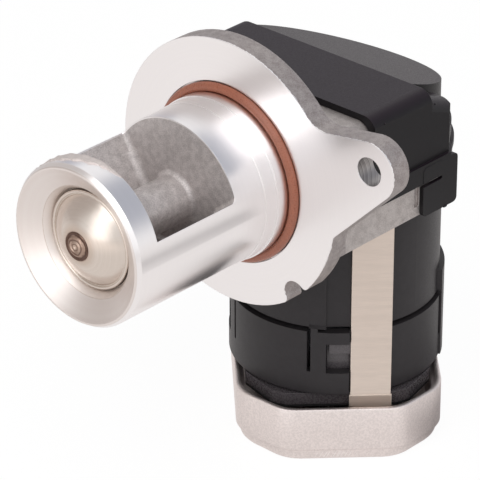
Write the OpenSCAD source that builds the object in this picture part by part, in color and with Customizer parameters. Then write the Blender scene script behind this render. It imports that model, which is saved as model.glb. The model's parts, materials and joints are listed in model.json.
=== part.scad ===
// Electric exhaust gas recirculation valve.
// The origin is the middle of the mounting flange's front face, on the snout's axis.
// The snout points along -Y, the motor hangs below the gear tray, +Z is up.

/* [Snout] */
// Distance from the flange face to the mouth's lip
snout_l = 60.9; // [58:0.1:66]
// Radius of the collar around the mouth and of the barrel beside the window
barrel_r = 24.1; // [23:0.1:24.1]
// Radius of the pilot land behind the window
pilot_r = 24.4; // [24.4:0.1:25]
// Radius of the land beside the sealing ring
ring_land_r = 24.8; // [24.8:0.1:25.5]
// Width of the flat lip around the mouth
lip_w = 0.5; // [0.3:0.1:1]
// Bevel on the outside of the lip
lip_bevel = 1; // [0.3:0.1:1.4]
// Bore of the mouth in front of the valve
throat_r = 16.6; // [16:0.1:18]
// Distance from the flange face to the inner end of the mouth's cone
cone_end = 57; // [55.5:0.1:58]
// Distance from the flange face to the window's front edge
window_front = 52.5; // [50:0.1:53.5]
// Distance from the flange face to the window's rear wall
window_rear = 21.4; // [18:0.1:24]
// Angle of the window's middle, from +X towards +Z
window_angle = 80; // [70:1:95]
// Radius of the gas chamber's round floor
chamber_r = 15.6; // [14.5:0.1:16.5]
// Height at which the chamber's walls start to flare
flare_start = 3.5; // [2:0.1:6]
// Slope of the flared walls, from the straight wall
flare_angle = 40; // [30:1:50]
// Radius of the boss that carries the stem guide
boss_r = 7.1; // [6.5:0.1:8.5]
// Distance from the flange face to the boss's front end
boss_front = 40; // [34:0.5:44]
// Radius of the blends at the foot of the chamber's rear wall and of the boss
cast_blend = 1.8; // [1:0.1:2]
// Radius of the sealing ring's cord
o_ring_cord_r = 1.45; // [1.2:0.05:1.6]
// How deep the sealing ring's seat goes into the flange face
ring_seat_depth = 1.3; // [0.6:0.1:1.6]

/* [Valve] */
// Bore radius of the seat ring
seat_bore_r = 13.5; // [12.5:0.1:13.8]
// Outer radius of the valve head
head_r = 14.6; // [14.2:0.1:15.4]
// Height of the head's straight rim
head_rim_h = 0.7; // [0.4:0.1:1.2]
// Width of the bead around the head
bead_w = 1; // [0.6:0.1:1.4]
// Height of the dome above the rim
dome_h = 5.2; // [3:0.1:5.6]
// Radius of the flat in the middle of the dome
dome_flat_r = 4.4; // [3.6:0.1:6]
// Radius of the stem
stem_r = 3; // [2.6:0.1:3.4]
// Radius of the stem's riveted end
rivet_r = 2.5; // [2:0.1:2.5]
// Gap between the closed head and its seat, along the axis
seat_gap = 0.4; // [0.3:0.05:0.6]
// Distance that the valve opens
stroke = 6.3; // [5:0.1:6.5]

/* [Flange] */
// Radius of the flange disc
flange_r = 40.6; // [38:0.1:43]
// Thickness of the flange
flange_t = 6.5; // [5:0.1:9]
// Bolt hole diameter
bolt_hole_d = 8.5; // [7:0.1:9.5]
// Distance of the bolt holes from the snout's axis
bolt_dist = 55.9; // [53:0.1:60]
// Angle of the right ear, from +X towards +Z
ear_angle = 19.2; // [10:0.1:25]
// Angle of the left ear, from +X towards +Z
left_ear_angle = 215; // [205:1:225]
// Radius of the ears around their holes
ear_r = 8.8; // [8:0.1:10]
// Blend radius between an ear's upper side and the disc
ear_blend_r = 9; // [6:0.5:12]
// Radius of the open bolt notch
notch_r = 4; // [3:0.1:5]
// Angle of the notch, from +X towards +Z
notch_angle = -49; // [-55:1:-43]
// Rounding of the corners where the notch opens into the rim
notch_blend = 1.4; // [0.6:0.1:2]

/* [Gear case] */
// Distance of the motor's axis behind the flange face
motor_y = 47.5; // [46:0.5:54]
// Half of the gear tray's width
tray_hw = 37; // [36:0.5:42]
// Radius of the tray's and the cover's round rear
rear_r = 33; // [32:0.5:36]
// Height of the tray's underside
tray_bottom = -16.5; // [-18:0.1:-15]
// Thickness of the tray's floor
floor_t = 4; // [3:0.5:5]
// Height of the tray's rim
tray_rim = -6.6; // [-8:0.1:-5]
// Thickness of the cast walls
cast_wall = 3.2; // [2.5:0.1:4]
// Distance from the flange face to the front of the gear space
gear_space_y = 10.6; // [10:0.1:10.9]

/* [Cover] */
// Height of the cover's flat front
cover_top = 21.5; // [20.5:0.1:23.5]
// Distance from the flange face to the cover's front edge
cover_front = 20.5; // [19:0.1:22]
// Distance from the flange face to the ridge, behind which the top falls
ridge_y = 45.2; // [42:0.1:46]
// Fall of the rear top
rear_slope = 20.5; // [15:0.5:24]
// Half of the cover's width at its front edge
cover_front_hw = 37.3; // [36.5:0.1:37.5]
// Rounding of the cover's long upper edges
cover_edge_r = 5; // [3:0.1:6]
// Wall thickness of the cover
cover_wall = 2; // [1.8:0.1:2.4]
// How far the skirt stands out of the wall
skirt_step = 0.9; // [0.5:0.1:1.5]
// Height of the skirt's upper edge
skirt_top = -0.2; // [-2:0.1:1]
// Height of the skirt's upper edge around the rear
rear_skirt_top = -4.6; // [-5:0.1:-0.2]
// Height of the skirt's lower edge
skirt_bottom = -6.2; // [-6.4:0.1:-4]
// Width of a latch plate, along Y
latch_w = 15.2; // [12:0.1:16]
// Distance from the flange face to the latch plate's front edge
latch_y = 41.1; // [40:0.1:44]
// Radius of the raised round part of the cover's rear
dome_part_r = 30.1; // [28:0.1:30.5]
// How far the shoulders beside the raised part lie below it
shoulder_drop = 2.7; // [1.5:0.1:3]
// Distance from the flange face to the shoulders' rear ends
shoulder_y = 54.5; // [52:0.1:56]
// Height of the low rim behind the shoulders
rim_top = 0.6; // [0.2:0.1:6]

/* [Connector] */
// Height of the socket's middle
socket_z = 2.6; // [1:0.1:4]
// Distance from the flange face to the socket's middle
socket_y = 38; // [36:0.5:39]
// Width of the socket outside, along Y
socket_w = 22; // [20:0.5:23]
// Height of the socket outside
socket_h = 14; // [12:0.5:15]
// How far the socket reaches from the middle plane
socket_reach = 51; // [48:0.5:54]
// Wall thickness of the socket
socket_wall = 1.8; // [1.5:0.1:2.2]
// Number of contacts
contacts = 5; // [3:1:5]
// Distance between contacts
contact_pitch = 3.4; // [3:0.1:3.6]

/* [Motor] */
// Outer radius of the black sleeve
sleeve_r = 31.2; // [31:0.1:32]
// Outer radius of the band at its lower end
band_r = 32.1; // [31.8:0.1:33]
// Inner radius of the sleeve
sleeve_bore_r = 29; // [28.8:0.1:29.4]
// Height of the band's upper edge
band_top = -53.5; // [-56:0.5:-50]
// Height of the sleeve's lower edge
sleeve_bottom = -75.5; // [-78:0.5:-72]
// Angle that a snap finger covers
finger_angle = 54.5; // [45:0.5:58]
// Width of the slots around a finger
slot_w = 1.1; // [0.8:0.1:1.6]
// Height of the lower ends of the fingers' slots
finger_root = -68.2; // [-71:0.1:-66]
// Width of the snap windows
snap_w = 9.4; // [8:0.1:11]
// Height of the snap windows' upper edge
snap_top = -58.5; // [-60:0.1:-57]
// Height of the snap windows
snap_h = 9.8; // [8:0.1:11]
// Outer radius of the motor's steel can
can_r = 26.4; // [26:0.1:26.5]
// Wall thickness of the can
can_wall = 1.6; // [1.2:0.1:1.8]
// Radius of the motor's shaft
motor_shaft_r = 2; // [1.6:0.1:2.2]
// Radius of the rotor
rotor_r = 19.6; // [18.5:0.1:19.8]
// Thickness of the magnets
magnet_t = 4.4; // [4:0.1:4.6]
// Number of the rotor's poles
poles = 7; // [5:1:9]

/* [Pan and straps] */
// Height of the pan's rim
pan_rim = -77.5; // [-79:0.1:-77]
// Height of the pan's underside
pan_bottom = -95.3; // [-96:0.1:-93]
// Half of the pan's length, towards the straps
pan_half_l = 37.3; // [36.5:0.1:39]
// Half of the pan's width
pan_half_w = 30.8; // [30.5:0.1:33]
// Wall thickness of the pan's rim
pan_wall = 1.4; // [1.2:0.1:2]
// Height of the narrower foot of the pan
pan_foot_h = 4; // [3:0.1:7]
// How far the pan's foot is drawn in at the long sides
pan_inset = 1.1; // [0.6:0.1:1.8]
// Bevel around the pan's underside
pan_bevel = 1.4; // [1:0.1:2.6]
// Width of a strap
strap_w = 12.1; // [9:0.1:12.5]
// Thickness of a strap
strap_t = 0.8; // [0.6:0.1:1]
// Distance of a strap's middle from the middle of the pan's side
strap_shift = 8.65; // [8:0.05:9]
// Distance of the straps' inner faces from the motor's axis
strap_dist = 30.2; // [30.1:0.1:30.6]

/* [Drive] */
// Throw of the crank pin
crank_throw = 9; // [8.8:0.1:9.6]
// Distance from the flange face to the output shaft
output_y = 32; // [31.8:0.1:32.4]
// Radius of the bush on the crank pin
crank_bush_r = 3; // [2.6:0.1:3.2]
// Gap between the bush and the yoke's slot
yoke_gap = 0.12; // [0.1:0.01:0.2]
// Tooth size of the pair next to the motor
module_1 = 0.8; // [0.78:0.01:0.82]
// Tooth size of the pair next to the valve
module_2 = 1; // [0.98:0.01:1.02]
// Teeth of the motor pinion
motor_teeth = 10; // [9:1:11]
// Teeth of the intermediate wheel
wheel_teeth = 36; // [34:1:37]
// Teeth of the intermediate pinion
pinion_teeth = 9; // [9:1:10]
// Teeth of a whole output gear, of which the sector has a part
sector_teeth = 40; // [39:1:41]
// Thickness of the sector
sector_t = 3.5; // [3:0.1:3.8]
// Mean radius of the return spring
spring_r = 5.4; // [5:0.1:5.6]
// Radius of the spring's wire
spring_wire_r = 0.65; // [0.5:0.05:0.7]
// Turns of the return spring
spring_turns = 5; // [4:1:5]

/* [Hidden] */
$fn = 96;

// Clearances and small allowances
run_gap = 0.03;
fit_gap = 0.15;
slight = 0.03;
rest_gap = 0.3;
cut = 1;

// Valve and seat, as distances in front of the flange face
seat_cone_start = window_front + 0.3;
head_rim_y = seat_cone_start + head_r - seat_bore_r + seat_gap;
head_back_r = seat_bore_r - seat_gap;
head_back_y = head_rim_y - (head_r - head_back_r);
head_hub_y = head_back_y - 1.3;
dome_y = head_rim_y + head_rim_h;
dome_edge_r = head_r - bead_w - 0.2;
dome_centre = dome_y + (dome_h * dome_h + dome_flat_r * dome_flat_r - dome_edge_r * dome_edge_r) / (2 * dome_h);
dome_r = sqrt(dome_edge_r * dome_edge_r + (dome_y - dome_centre) * (dome_y - dome_centre));
rivet_end = dome_y + dome_h + 0.8;
seat_face = window_front + 1.5;

// Crank and yoke: the bush stands at +swing when the valve is shut and at -swing when it is open
swing = asin(stroke / 2 / crank_throw);
output_x = -crank_throw * (1 + cos(swing)) / 2;
crank_x = output_x + crank_throw * cos(swing);
crank_y = output_y + stroke / 2;
yoke_hw = 5.4;
yoke_hh = 4.6;
yoke_wall = 2.2;
yoke_front = crank_y - crank_bush_r - yoke_gap - yoke_wall;
yoke_rear = crank_y + crank_bush_r + yoke_gap + yoke_wall;
plate_t = 1.5;
plate_r = spring_r + spring_wire_r + 0.35;
plate_front = yoke_front - plate_t;

// Gear heights and places
sector_z = plate_r + 0.5;
hub_top = sector_z + 4.7;
wheel_z = sector_z + 4.2;
wheel_t = 3;
output_shaft_r = 2;
hub_r = 2.8;
intermediate_shaft_r = 2;
motor_pitch_r = module_1 * motor_teeth / 2;
wheel_pitch_r = module_1 * wheel_teeth / 2;
pinion_pitch_r = module_2 * pinion_teeth / 2;
sector_pitch_r = module_2 * sector_teeth / 2;
motor_reach = motor_pitch_r + wheel_pitch_r;
output_reach = pinion_pitch_r + sector_pitch_r;
motor_from_output = norm([-output_x, motor_y - output_y]);
motor_bearing = atan2(motor_y - output_y, -output_x);
corner_angle = acos((pow(output_reach, 2) + pow(motor_from_output, 2) - pow(motor_reach, 2))
    / (2 * output_reach * motor_from_output));
pinion_bearing = motor_bearing - corner_angle;
intermediate_x = output_x + output_reach * cos(pinion_bearing);
intermediate_y = output_y + output_reach * sin(pinion_bearing);
wheel_bearing = atan2(motor_y - intermediate_y, -intermediate_x);

// The neck fills the front of the cover
neck_hw = cover_front_hw - cover_wall - rest_gap;
neck_top = cover_top - cover_wall - fit_gap;

// Motor heights
floor_top = tray_bottom + floor_t;
can_top = tray_bottom - 0.5;
base_top = sleeve_bottom - 0.7;
base_plate_bottom = base_top - 3.8;
pan_floor = pan_bottom + 2;
boss_bottom = pan_floor + 1;
gasket_t = 0.8;
spigot_r = sleeve_bore_r - fit_gap;
spigot_bottom = tray_bottom - 3.5;

// A raised pad on the side of the sleeve
pad_top = band_top + 7;
pad_t = 0.6;

// Side channel of the sleeve in which a strap lies
channel_from = -snap_w / 2;
channel_to = strap_shift + strap_w / 2 + 1.2;
channel_dist = strap_dist - 0.1;

// A profile of radius and distance in front of the flange face, turned about the snout's axis
module turned() rotate([90, 0, 0]) rotate_extrude($fn = 128) children();

// An outline seen from the front, standing between two distances behind the flange face
module upright(from, to) translate([0, to, 0]) rotate([90, 0, 0]) linear_extrude(to - from) children();

// An upright outline of straight sides and a flat top with rounded upper corners
module round_topped(hw, bottom, top, r) {
    translate([-hw, bottom]) square([2 * hw, top - r - bottom]);
    translate([-hw + r, bottom]) square([2 * (hw - r), top - bottom]);
    for (side = [-1, 1]) translate([side * (hw - r), top - r]) circle(r);
}

// An outline seen from above, between two heights
module level(from, to) translate([0, 0, from]) linear_extrude(to - from) children();

// A place on the motor's axis, and the same turned so that +X faces the front strap
module at_motor() translate([0, motor_y, 0]) children();
module facing_strap() at_motor() rotate([0, 0, -45]) children();

// A ring between two radii
module ring(outer, inner) difference() {
    circle(outer);
    circle(inner);
}

// A polygon with every corner rounded by the same radius
function rounded(points, r, steps = 6) = [
    for (i = [0 : len(points) - 1])
        let (p = points[i],
            a = points[(i + len(points) - 1) % len(points)] - p,
            b = points[(i + 1) % len(points)] - p,
            ua = a / norm(a),
            ub = b / norm(b),
            half = acos(ua * ub) / 2,
            middle = (ua + ub) / norm(ua + ub),
            centre = p + middle * r / sin(half),
            start = atan2(-middle[1], -middle[0]) - (90 - half))
        for (k = [0 : steps]) centre + r * [cos(start + k * 2 * (90 - half) / steps),
            sin(start + k * 2 * (90 - half) / steps)]];

// Outline of the tray and the cover from above: straight sides, then flanks that meet the round rear
module rear_rounded(front, front_hw, hw, knee, r) {
    away = norm([hw, knee - motor_y]);
    near = r - 0.3;
    touch = atan2(knee - motor_y, hw) + acos(near / away);
    right = [[front_hw, front], [hw, knee], [near * cos(touch), motor_y + near * sin(touch)]];
    left = [for (i = [2 : -1 : 0]) [-right[i][0], right[i][1]]];
    polygon(concat(right, left));
    intersection() {
        at_motor() circle(r);
        translate([-r, knee - r / 4]) square([2 * r, 2 * r]);
    }
}

// Tooth flanks: an involute cut off at the tip, with a straight foot below the base circle
pressure = 25;
addendum = 0.8;
dedendum = 1.05;
backlash = 0.12;
function involute_angle(a) = tan(a) * 180 / PI - a;
function half_tooth(m, n, r) = 90 / n - backlash / (m * n) * 90 / PI + involute_angle(pressure)
    - involute_angle(acos(min(1, m * n / 2 * cos(pressure) / r)));
module gear_outline(m, n) {
    base = m * n / 2 * cos(pressure);
    root = m * (n / 2 - dedendum);
    tip = m * (n / 2 + addendum);
    low = max(base, root);
    radii = [for (k = [0 : 4]) low + (tip - low) * k / 4];
    polygon([for (i = [0 : n - 1], side = [-1, 1], k = [0 : 5])
        let (j = side < 0 ? k : 5 - k,
            r = j == 0 ? root : radii[j - 1],
            a = i * 360 / n + side * half_tooth(m, n, max(r, low)))
        r * [cos(a), sin(a)]]);
}

// Mounting flange seen from the front
module ear_flank(side, lean, blend_r) {
    n = [sin(lean), side * cos(lean)];
    u = [cos(lean), -side * sin(lean)];
    ear = [bolt_dist, 0];
    k = n * ear + ear_r + blend_r - 0.03;
    m = flange_r + blend_r - 0.03;
    blend = k * n + sqrt(m * m - k * k) * u;
    difference() {
        polygon([[0, 0], blend * (flange_r - 2) / m, blend, blend - (blend_r - slight) * n,
            ear + (ear_r - slight) * n, ear]);
        translate(blend) circle(blend_r);
    }
}
module ear(angle) rotate(angle) {
    translate([bolt_dist, 0]) circle(ear_r);
    ear_flank(1, 10.2, ear_blend_r);
    ear_flank(-1, 25.8, ear_blend_r / 3);
}
notch_dist = flange_r - 1;
module notch() rotate(notch_angle) {
    translate([notch_dist, 0]) circle(notch_r);
    translate([notch_dist, -notch_r]) square([notch_r * 2, notch_r * 2]);
    side = notch_r + notch_blend;
    out = sqrt(pow(flange_r - notch_blend, 2) - side * side);
    for (turn = [0, 1]) mirror([0, turn]) difference() {
        polygon([[out, side], [out, notch_r - slight], [flange_r + 2, notch_r - slight],
            [out, side] * (flange_r + 2) / (flange_r - notch_blend)]);
        translate([out, side]) circle(notch_blend);
    }
}
module flange_outline() difference() {
    union() {
        circle(flange_r);
        ear(ear_angle);
        ear(left_ear_angle);
    }
    for (a = [ear_angle, left_ear_angle]) rotate(a) translate([bolt_dist, 0]) circle(d = bolt_hole_d);
    notch();
}

// The turned outside of the snout
land_front = 10.2;
ring_land_front = 5.5;
ring_bed_r = ring_land_r - 0.4;
ring_y = o_ring_cord_r + fit_gap - ring_seat_depth;
groove_front = ring_y + o_ring_cord_r + rest_gap;
module snout_profile() polygon([[0, -flange_t], [ring_bed_r, -flange_t], [ring_bed_r, groove_front],
    [ring_land_r, groove_front], [ring_land_r, ring_land_front], [pilot_r, ring_land_front],
    [pilot_r, land_front], [barrel_r, land_front], [barrel_r, snout_l - 1.5 * lip_bevel],
    [barrel_r - lip_bevel, snout_l], [0, snout_l]]);

// The recess in the flange face in which half of the sealing ring lies
module ring_seat() upright(-cut, ring_seat_depth) ring(ring_bed_r + 2 * o_ring_cord_r + rest_gap, ring_bed_r);

// The gas chamber and its window: a round floor, straight walls, then flared walls
module chamber_outline() rotate(window_angle - 90) {
    reach = 2 * pilot_r;
    spread = chamber_r + (reach - flare_start) * tan(flare_angle);
    circle(chamber_r);
    translate([-chamber_r, 0]) square([2 * chamber_r, flare_start]);
    polygon([[-chamber_r, flare_start], [chamber_r, flare_start], [spread, reach], [-spread, reach]]);
}

// Everything cut from the mouth: the bore and the cone that widens to the lip
module mouth_profile() {
    mouth_r = barrel_r - lip_bevel - lip_w;
    polygon([[0, window_front - cut], [throat_r, window_front - cut], [throat_r, cone_end],
        [mouth_r, snout_l], [mouth_r, snout_l + cut], [0, snout_l + cut]]);
}

// A hollow blend in the corner between a wall, at the origin, and the chamber's rear wall
module blend_profile() difference() {
    translate([-cut, -cut]) square(cast_blend + cut);
    translate([1, 1] * (cast_blend - slight)) circle(cast_blend);
}

// The chamber, with blends around its rear wall: along the round floor and along both side walls
module wall_blend(from, lean, long) translate([chamber_r, -window_rear, from]) rotate([0, lean, 0])
    linear_extrude(long) rotate(180) blend_profile();
module side_blends() {
    wall_blend(0, 0, flare_start);
    wall_blend(flare_start, flare_angle, 2 * pilot_r);
}
module chamber() difference() {
    translate([0, -window_rear, 0]) rotate([90, 0, 0]) linear_extrude(window_front - window_rear) chamber_outline();
    rotate([0, 90 - window_angle, 0]) {
        intersection() {
            turned() translate([chamber_r, window_rear]) mirror([1, 0]) blend_profile();
            translate([-pilot_r, -window_rear - 2 * cast_blend, -pilot_r])
                cube([2 * pilot_r, 4 * cast_blend, pilot_r]);
        }
        side_blends();
        mirror([1, 0, 0]) side_blends();
    }
}

// The boss across the window, with a blended foot
module guide_boss_profile() {
    translate([0, window_rear - cut]) square([boss_r, boss_front - window_rear + cut - 0.8]);
    polygon([[0, window_rear], [boss_r, boss_front - 0.8], [boss_r - 0.8, boss_front], [0, boss_front]]);
    translate([boss_r, window_rear]) blend_profile();
}

guide_r = 5;
seal_r = 6;
seal_y = gear_space_y - 4.5;
module valve_housing() color("silver") difference() {
    union() {
        difference() {
            union() {
                turned() snout_profile();
                upright(0, flange_t) flange_outline();
            }
            chamber();
        }
        turned() guide_boss_profile();
        upright(flange_t, cover_front + 4) round_topped(neck_hw, tray_bottom, neck_top, cover_edge_r - 0.5);
        level(tray_bottom, tray_rim) rear_rounded(flange_t, tray_hw, tray_hw, ridge_y, rear_r);
        strap_place(180) level(tray_bottom + rest_gap, tray_rim - rest_gap)
            translate([strap_dist - 8, -strap_w / 2 - 2])
            square([8 + strap_t + 2, strap_w + 4]);
        at_motor() level(spigot_bottom, tray_bottom) ring(spigot_r, can_r + fit_gap);
    }
    turned() mouth_profile();
    ring_seat();
    for (side = [-1, 1]) translate([side * tray_hw - 0.8, latch_y - 2.2, tray_bottom + 3])
        cube([1.6, 2, tray_rim - tray_bottom]);
    turned() square([guide_r, boss_front + cut]);
    upright(-cut, gear_space_y + cut) circle(guide_r);
    upright(seal_y, gear_space_y + cut) circle(seal_r);
    translate([0, 0, floor_top]) linear_extrude(neck_top - cast_wall - floor_top)
        translate([-neck_hw + cast_wall, gear_space_y]) square([2 * (neck_hw - cast_wall), cover_front]);
    level(floor_top, cover_top) rear_rounded(cover_front + 4.5, tray_hw - cast_wall, tray_hw - cast_wall, ridge_y,
        rear_r - cast_wall);
    at_motor() level(tray_bottom - cut, floor_top + cut) circle(nose_r + fit_gap);
    level(tray_bottom - cut, floor_top + cut) lead_places(rest_gap);
    translate([output_x, output_y, floor_top - 2.5]) cylinder(r = output_shaft_r, h = 3);
    translate([intermediate_x, intermediate_y, floor_top - 2.5]) cylinder(r = intermediate_shaft_r, h = 3);
    for (turn = [0, 180]) strap_place(turn) {
        level(tray_bottom - cut, floor_top + cut) translate([strap_dist - fit_gap, -strap_w / 2 - fit_gap])
            square([strap_t + 2 * fit_gap, strap_w + 2 * fit_gap]);
        level(floor_top + run_gap, tray_rim + cut)
            translate([strap_dist - strap_hook - rest_gap, -strap_w / 2 - rest_gap])
            square([strap_hook + strap_t + 2 * rest_gap, strap_w + 2 * rest_gap]);
    }
}
nose_r = 7;

module seat_ring() color("darkgray") turned() polygon([[seat_bore_r, window_front], [throat_r, window_front],
    [throat_r, seat_face], [seat_bore_r + seat_face - seat_cone_start, seat_face], [seat_bore_r, seat_cone_start]]);

module stem_guide() color("darkkhaki") turned() translate([stem_r + run_gap, -seal_y + 0.3])
    square([guide_r - stem_r - run_gap, boss_front + seal_y]);

module stem_seal() color("saddlebrown") upright(seal_y, gear_space_y - 0.2) ring(seal_r, stem_r + run_gap);

module snout_o_ring() color("sienna") turned() translate([ring_bed_r + o_ring_cord_r, ring_y])
    circle(o_ring_cord_r);

module valve_head() color("lightgray") turned() {
    polygon([[rivet_r, head_hub_y], [stem_r + 2, head_hub_y], [head_back_r, head_back_y], [head_r, head_rim_y],
        [head_r, dome_y], [rivet_r, dome_y]]);
    translate([head_r - bead_w / 2, dome_y - slight]) circle(bead_w / 2);
    difference() {
        intersection() {
            translate([0, dome_centre]) circle(dome_r);
            translate([0, dome_y]) square([dome_edge_r, dome_h]);
        }
        translate([0, head_hub_y]) square([rivet_r, dome_h * 4]);
    }
}

module valve_stem() color("gainsboro") turned() {
    translate([0, -yoke_front]) square([stem_r, yoke_front + head_hub_y]);
    square([rivet_r, rivet_end]);
}

module spring_plate() color("gainsboro") upright(plate_front, yoke_front) ring(plate_r, stem_r);

module drive_yoke() color("gray") difference() {
    upright(yoke_front, yoke_rear) translate([-yoke_hw, -yoke_hh]) square([2 * yoke_hw, 2 * yoke_hh]);
    level(-yoke_hh - cut, yoke_hh + cut) translate([-yoke_hw + 1.75, crank_y - crank_bush_r - yoke_gap])
        square([2 * (yoke_hw - 1.75), 2 * (crank_bush_r + yoke_gap)]);
}

// A compression spring with closed ends, swept as rings of eight points
spring_sides = 8;
spring_steps = 16;
spring_from = gear_space_y + spring_wire_r + 0.05;
spring_to = plate_front - spring_wire_r - 0.05;
function spring_rise(t) = let (closed = 2 * spring_wire_r / (spring_to - spring_from), s = t * spring_turns)
    s < 1 ? closed * s : s > spring_turns - 1 ? 1 - closed * (spring_turns - s)
    : closed + (1 - 2 * closed) * (s - 1) / (spring_turns - 2);
function spring_point(i, k) = let (t = i / (spring_turns * spring_steps), a = 360 * spring_turns * t,
    b = 360 * k / spring_sides, r = spring_r + spring_wire_r * cos(b))
    [r * cos(a), spring_from + (spring_to - spring_from) * spring_rise(t) + spring_wire_r * sin(b), r * sin(a)];
module return_spring() {
    rings = spring_turns * spring_steps;
    points = [for (i = [0 : rings], k = [0 : spring_sides - 1]) spring_point(i, k)];
    sides = [for (i = [0 : rings - 1], k = [0 : spring_sides - 1]) let (n = (k + 1) % spring_sides)
        each [[i * spring_sides + k, i * spring_sides + n, (i + 1) * spring_sides + n],
            [i * spring_sides + k, (i + 1) * spring_sides + n, (i + 1) * spring_sides + k]]];
    caps = [[for (k = [spring_sides - 1 : -1 : 0]) k], [for (k = [0 : spring_sides - 1]) rings * spring_sides + k]];
    color("dimgray") polyhedron(points, concat(sides, caps));
}

module output_shaft() color("silver") translate([output_x, output_y, floor_top - 2.5])
    cylinder(r = output_shaft_r, h = hub_top - 0.5 - floor_top + 2.5);

// The sector: a wedge of a whole gear around the intermediate pinion, over the whole swing
sector_half = swing + 16;
module output_gear() color("ivory") translate([output_x, output_y, 0]) difference() {
    union() {
        level(sector_z, sector_z + sector_t) intersection() {
            rotate(pinion_bearing + 180 / sector_teeth) gear_outline(module_2, sector_teeth);
            union() {
                circle(6.5);
                rotate(pinion_bearing - swing) polygon([[0, 0], for (k = [-2 : 2])
                    2 * sector_pitch_r * [cos(k * sector_half / 2), sin(k * sector_half / 2)]]);
            }
        }
        level(-yoke_hh - 0.3, sector_z) circle(hub_r);
        level(sector_z, hub_top) circle(4.6);
    }
    level(-yoke_hh - cut, hub_top + cut) circle(output_shaft_r + run_gap);
    translate([crank_x - output_x, crank_y - output_y, sector_z - cut])
        cylinder(r = crank_pin_r, h = sector_t + 2 * cut);
}
crank_pin_r = 1.6;
module crank_pin() color("silver") translate([crank_x, crank_y, -yoke_hh + 0.4])
    cylinder(r = crank_pin_r, h = sector_z + sector_t + yoke_hh - 0.4);
module crank_bush() color("tan") translate([crank_x, crank_y, 0]) level(-yoke_hh + 0.4, sector_z)
    ring(crank_bush_r, crank_pin_r);
module sensor_magnet() color("dimgray") translate([output_x, output_y, 0]) level(hub_top, hub_top + 2)
    circle(4);

module intermediate_shaft() color("silver") translate([intermediate_x, intermediate_y, floor_top - 2.5])
    cylinder(r = intermediate_shaft_r, h = wheel_z + wheel_t + 0.8 - floor_top + 2.5);

// The wheel drives the sector through its own pinion
module intermediate_gear() color("ivory") translate([intermediate_x, intermediate_y, 0]) difference() {
    union() {
        level(wheel_z, wheel_z + wheel_t) rotate(wheel_bearing) gear_outline(module_1, wheel_teeth);
        level(sector_z - 0.4, wheel_z) rotate(pinion_bearing + 180) gear_outline(module_2, pinion_teeth);
        level(floor_top + rest_gap, sector_z - 0.4) circle(3.4);
    }
    level(floor_top - cut, wheel_z + wheel_t + cut) circle(intermediate_shaft_r + run_gap);
}
module motor_pinion() color("goldenrod") at_motor() difference() {
    level(wheel_z - 0.4, wheel_z + wheel_t + 0.4) rotate(wheel_bearing + 180 + 180 / motor_teeth)
        gear_outline(module_1, motor_teeth);
    level(wheel_z - cut, wheel_z + wheel_t + cut) circle(motor_shaft_r);
}

// Motor, from the axis outwards
magnet_r = can_r - can_wall;
shaft_bottom = boss_bottom + 1.2;
core_from = base_top + 20;
core_to = can_top - 11;
module motor_shaft() color("silver") at_motor() level(shaft_bottom, wheel_z + wheel_t + 0.8) circle(motor_shaft_r);
module rotor_core() color("slategray") at_motor() level(core_from, core_to) difference() {
    circle(rotor_r);
    circle(motor_shaft_r);
    for (i = [0 : poles - 1]) rotate(360 * i / poles) {
        translate([rotor_r * 0.62, 0]) circle(rotor_r * 0.17);
        translate([rotor_r * 0.62, -1]) square([rotor_r, 2]);
    }
}
module rotor_windings() color("peru") at_motor() {
    level(core_from - 4, core_from) ring(rotor_r * 0.85, rotor_r * 0.35);
    level(core_to, core_to + 4) ring(rotor_r * 0.85, rotor_r * 0.35);
}
commutator_r = 6;
commutator_from = core_from - 13;
module commutator() color("chocolate") at_motor() level(commutator_from, core_from - 4.5)
    ring(commutator_r, motor_shaft_r);
module motor_can() color("darkgray") at_motor() difference() {
    union() {
        level(base_top, can_top) circle(can_r);
        level(can_top, floor_top - 0.6) circle(nose_r);
    }
    level(base_top - cut, can_top - 2) circle(magnet_r);
    level(can_top - 3, floor_top - 2) circle(guide_r);
    level(can_top - 3, floor_top) circle(motor_shaft_r + 0.5);
    translate([0, -motor_y, 0]) level(can_top - 3, can_top + cut) lead_places(rest_gap);
}
module motor_magnets() color("dimgray") at_motor() level(core_from - 1, core_to + 1) for (turn = [0, 180])
    intersection() {
        ring(magnet_r - 0.05, magnet_r - magnet_t);
        rotate(turn) polygon([[0, 0], for (k = [-2 : 2]) 2 * magnet_r * [cos(k * 32), sin(k * 32)]]);
    }
module upper_bearing() color("darkkhaki") at_motor() level(can_top - 3, floor_top - 2)
    ring(guide_r, motor_shaft_r + run_gap);
module lower_bearing() color("darkkhaki") at_motor() level(boss_bottom + 2, boss_bottom + 7)
    ring(guide_r, motor_shaft_r + run_gap);
holder_top = core_from - 9.5;
module brush_holder() color("darkslategray") at_motor() level(holder_top - 3, holder_top)
    ring(magnet_r, commutator_r + 1);
module carbon_brushes() color("black") at_motor() for (turn = [0, 180]) rotate([0, 0, turn])
    translate([commutator_r + 0.1, -2.5, holder_top]) cube([9, 5, 4]);
// Two blades rise between the magnets, through the can and the floor, to the cover
module lead_places(gap) at_motor() for (side = [-1, 1]) translate([side * 4, (magnet_r + rotor_r) / 2 - 0.1])
    square([3 + 2 * gap, 0.8 + 2 * gap], center = true);
lead_top = cover_top - cover_wall - 1 - (motor_y + (magnet_r + rotor_r) / 2 - ridge_y) * tan(rear_slope);
module motor_leads() color("goldenrod") level(holder_top, lead_top) lead_places(0);

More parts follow.
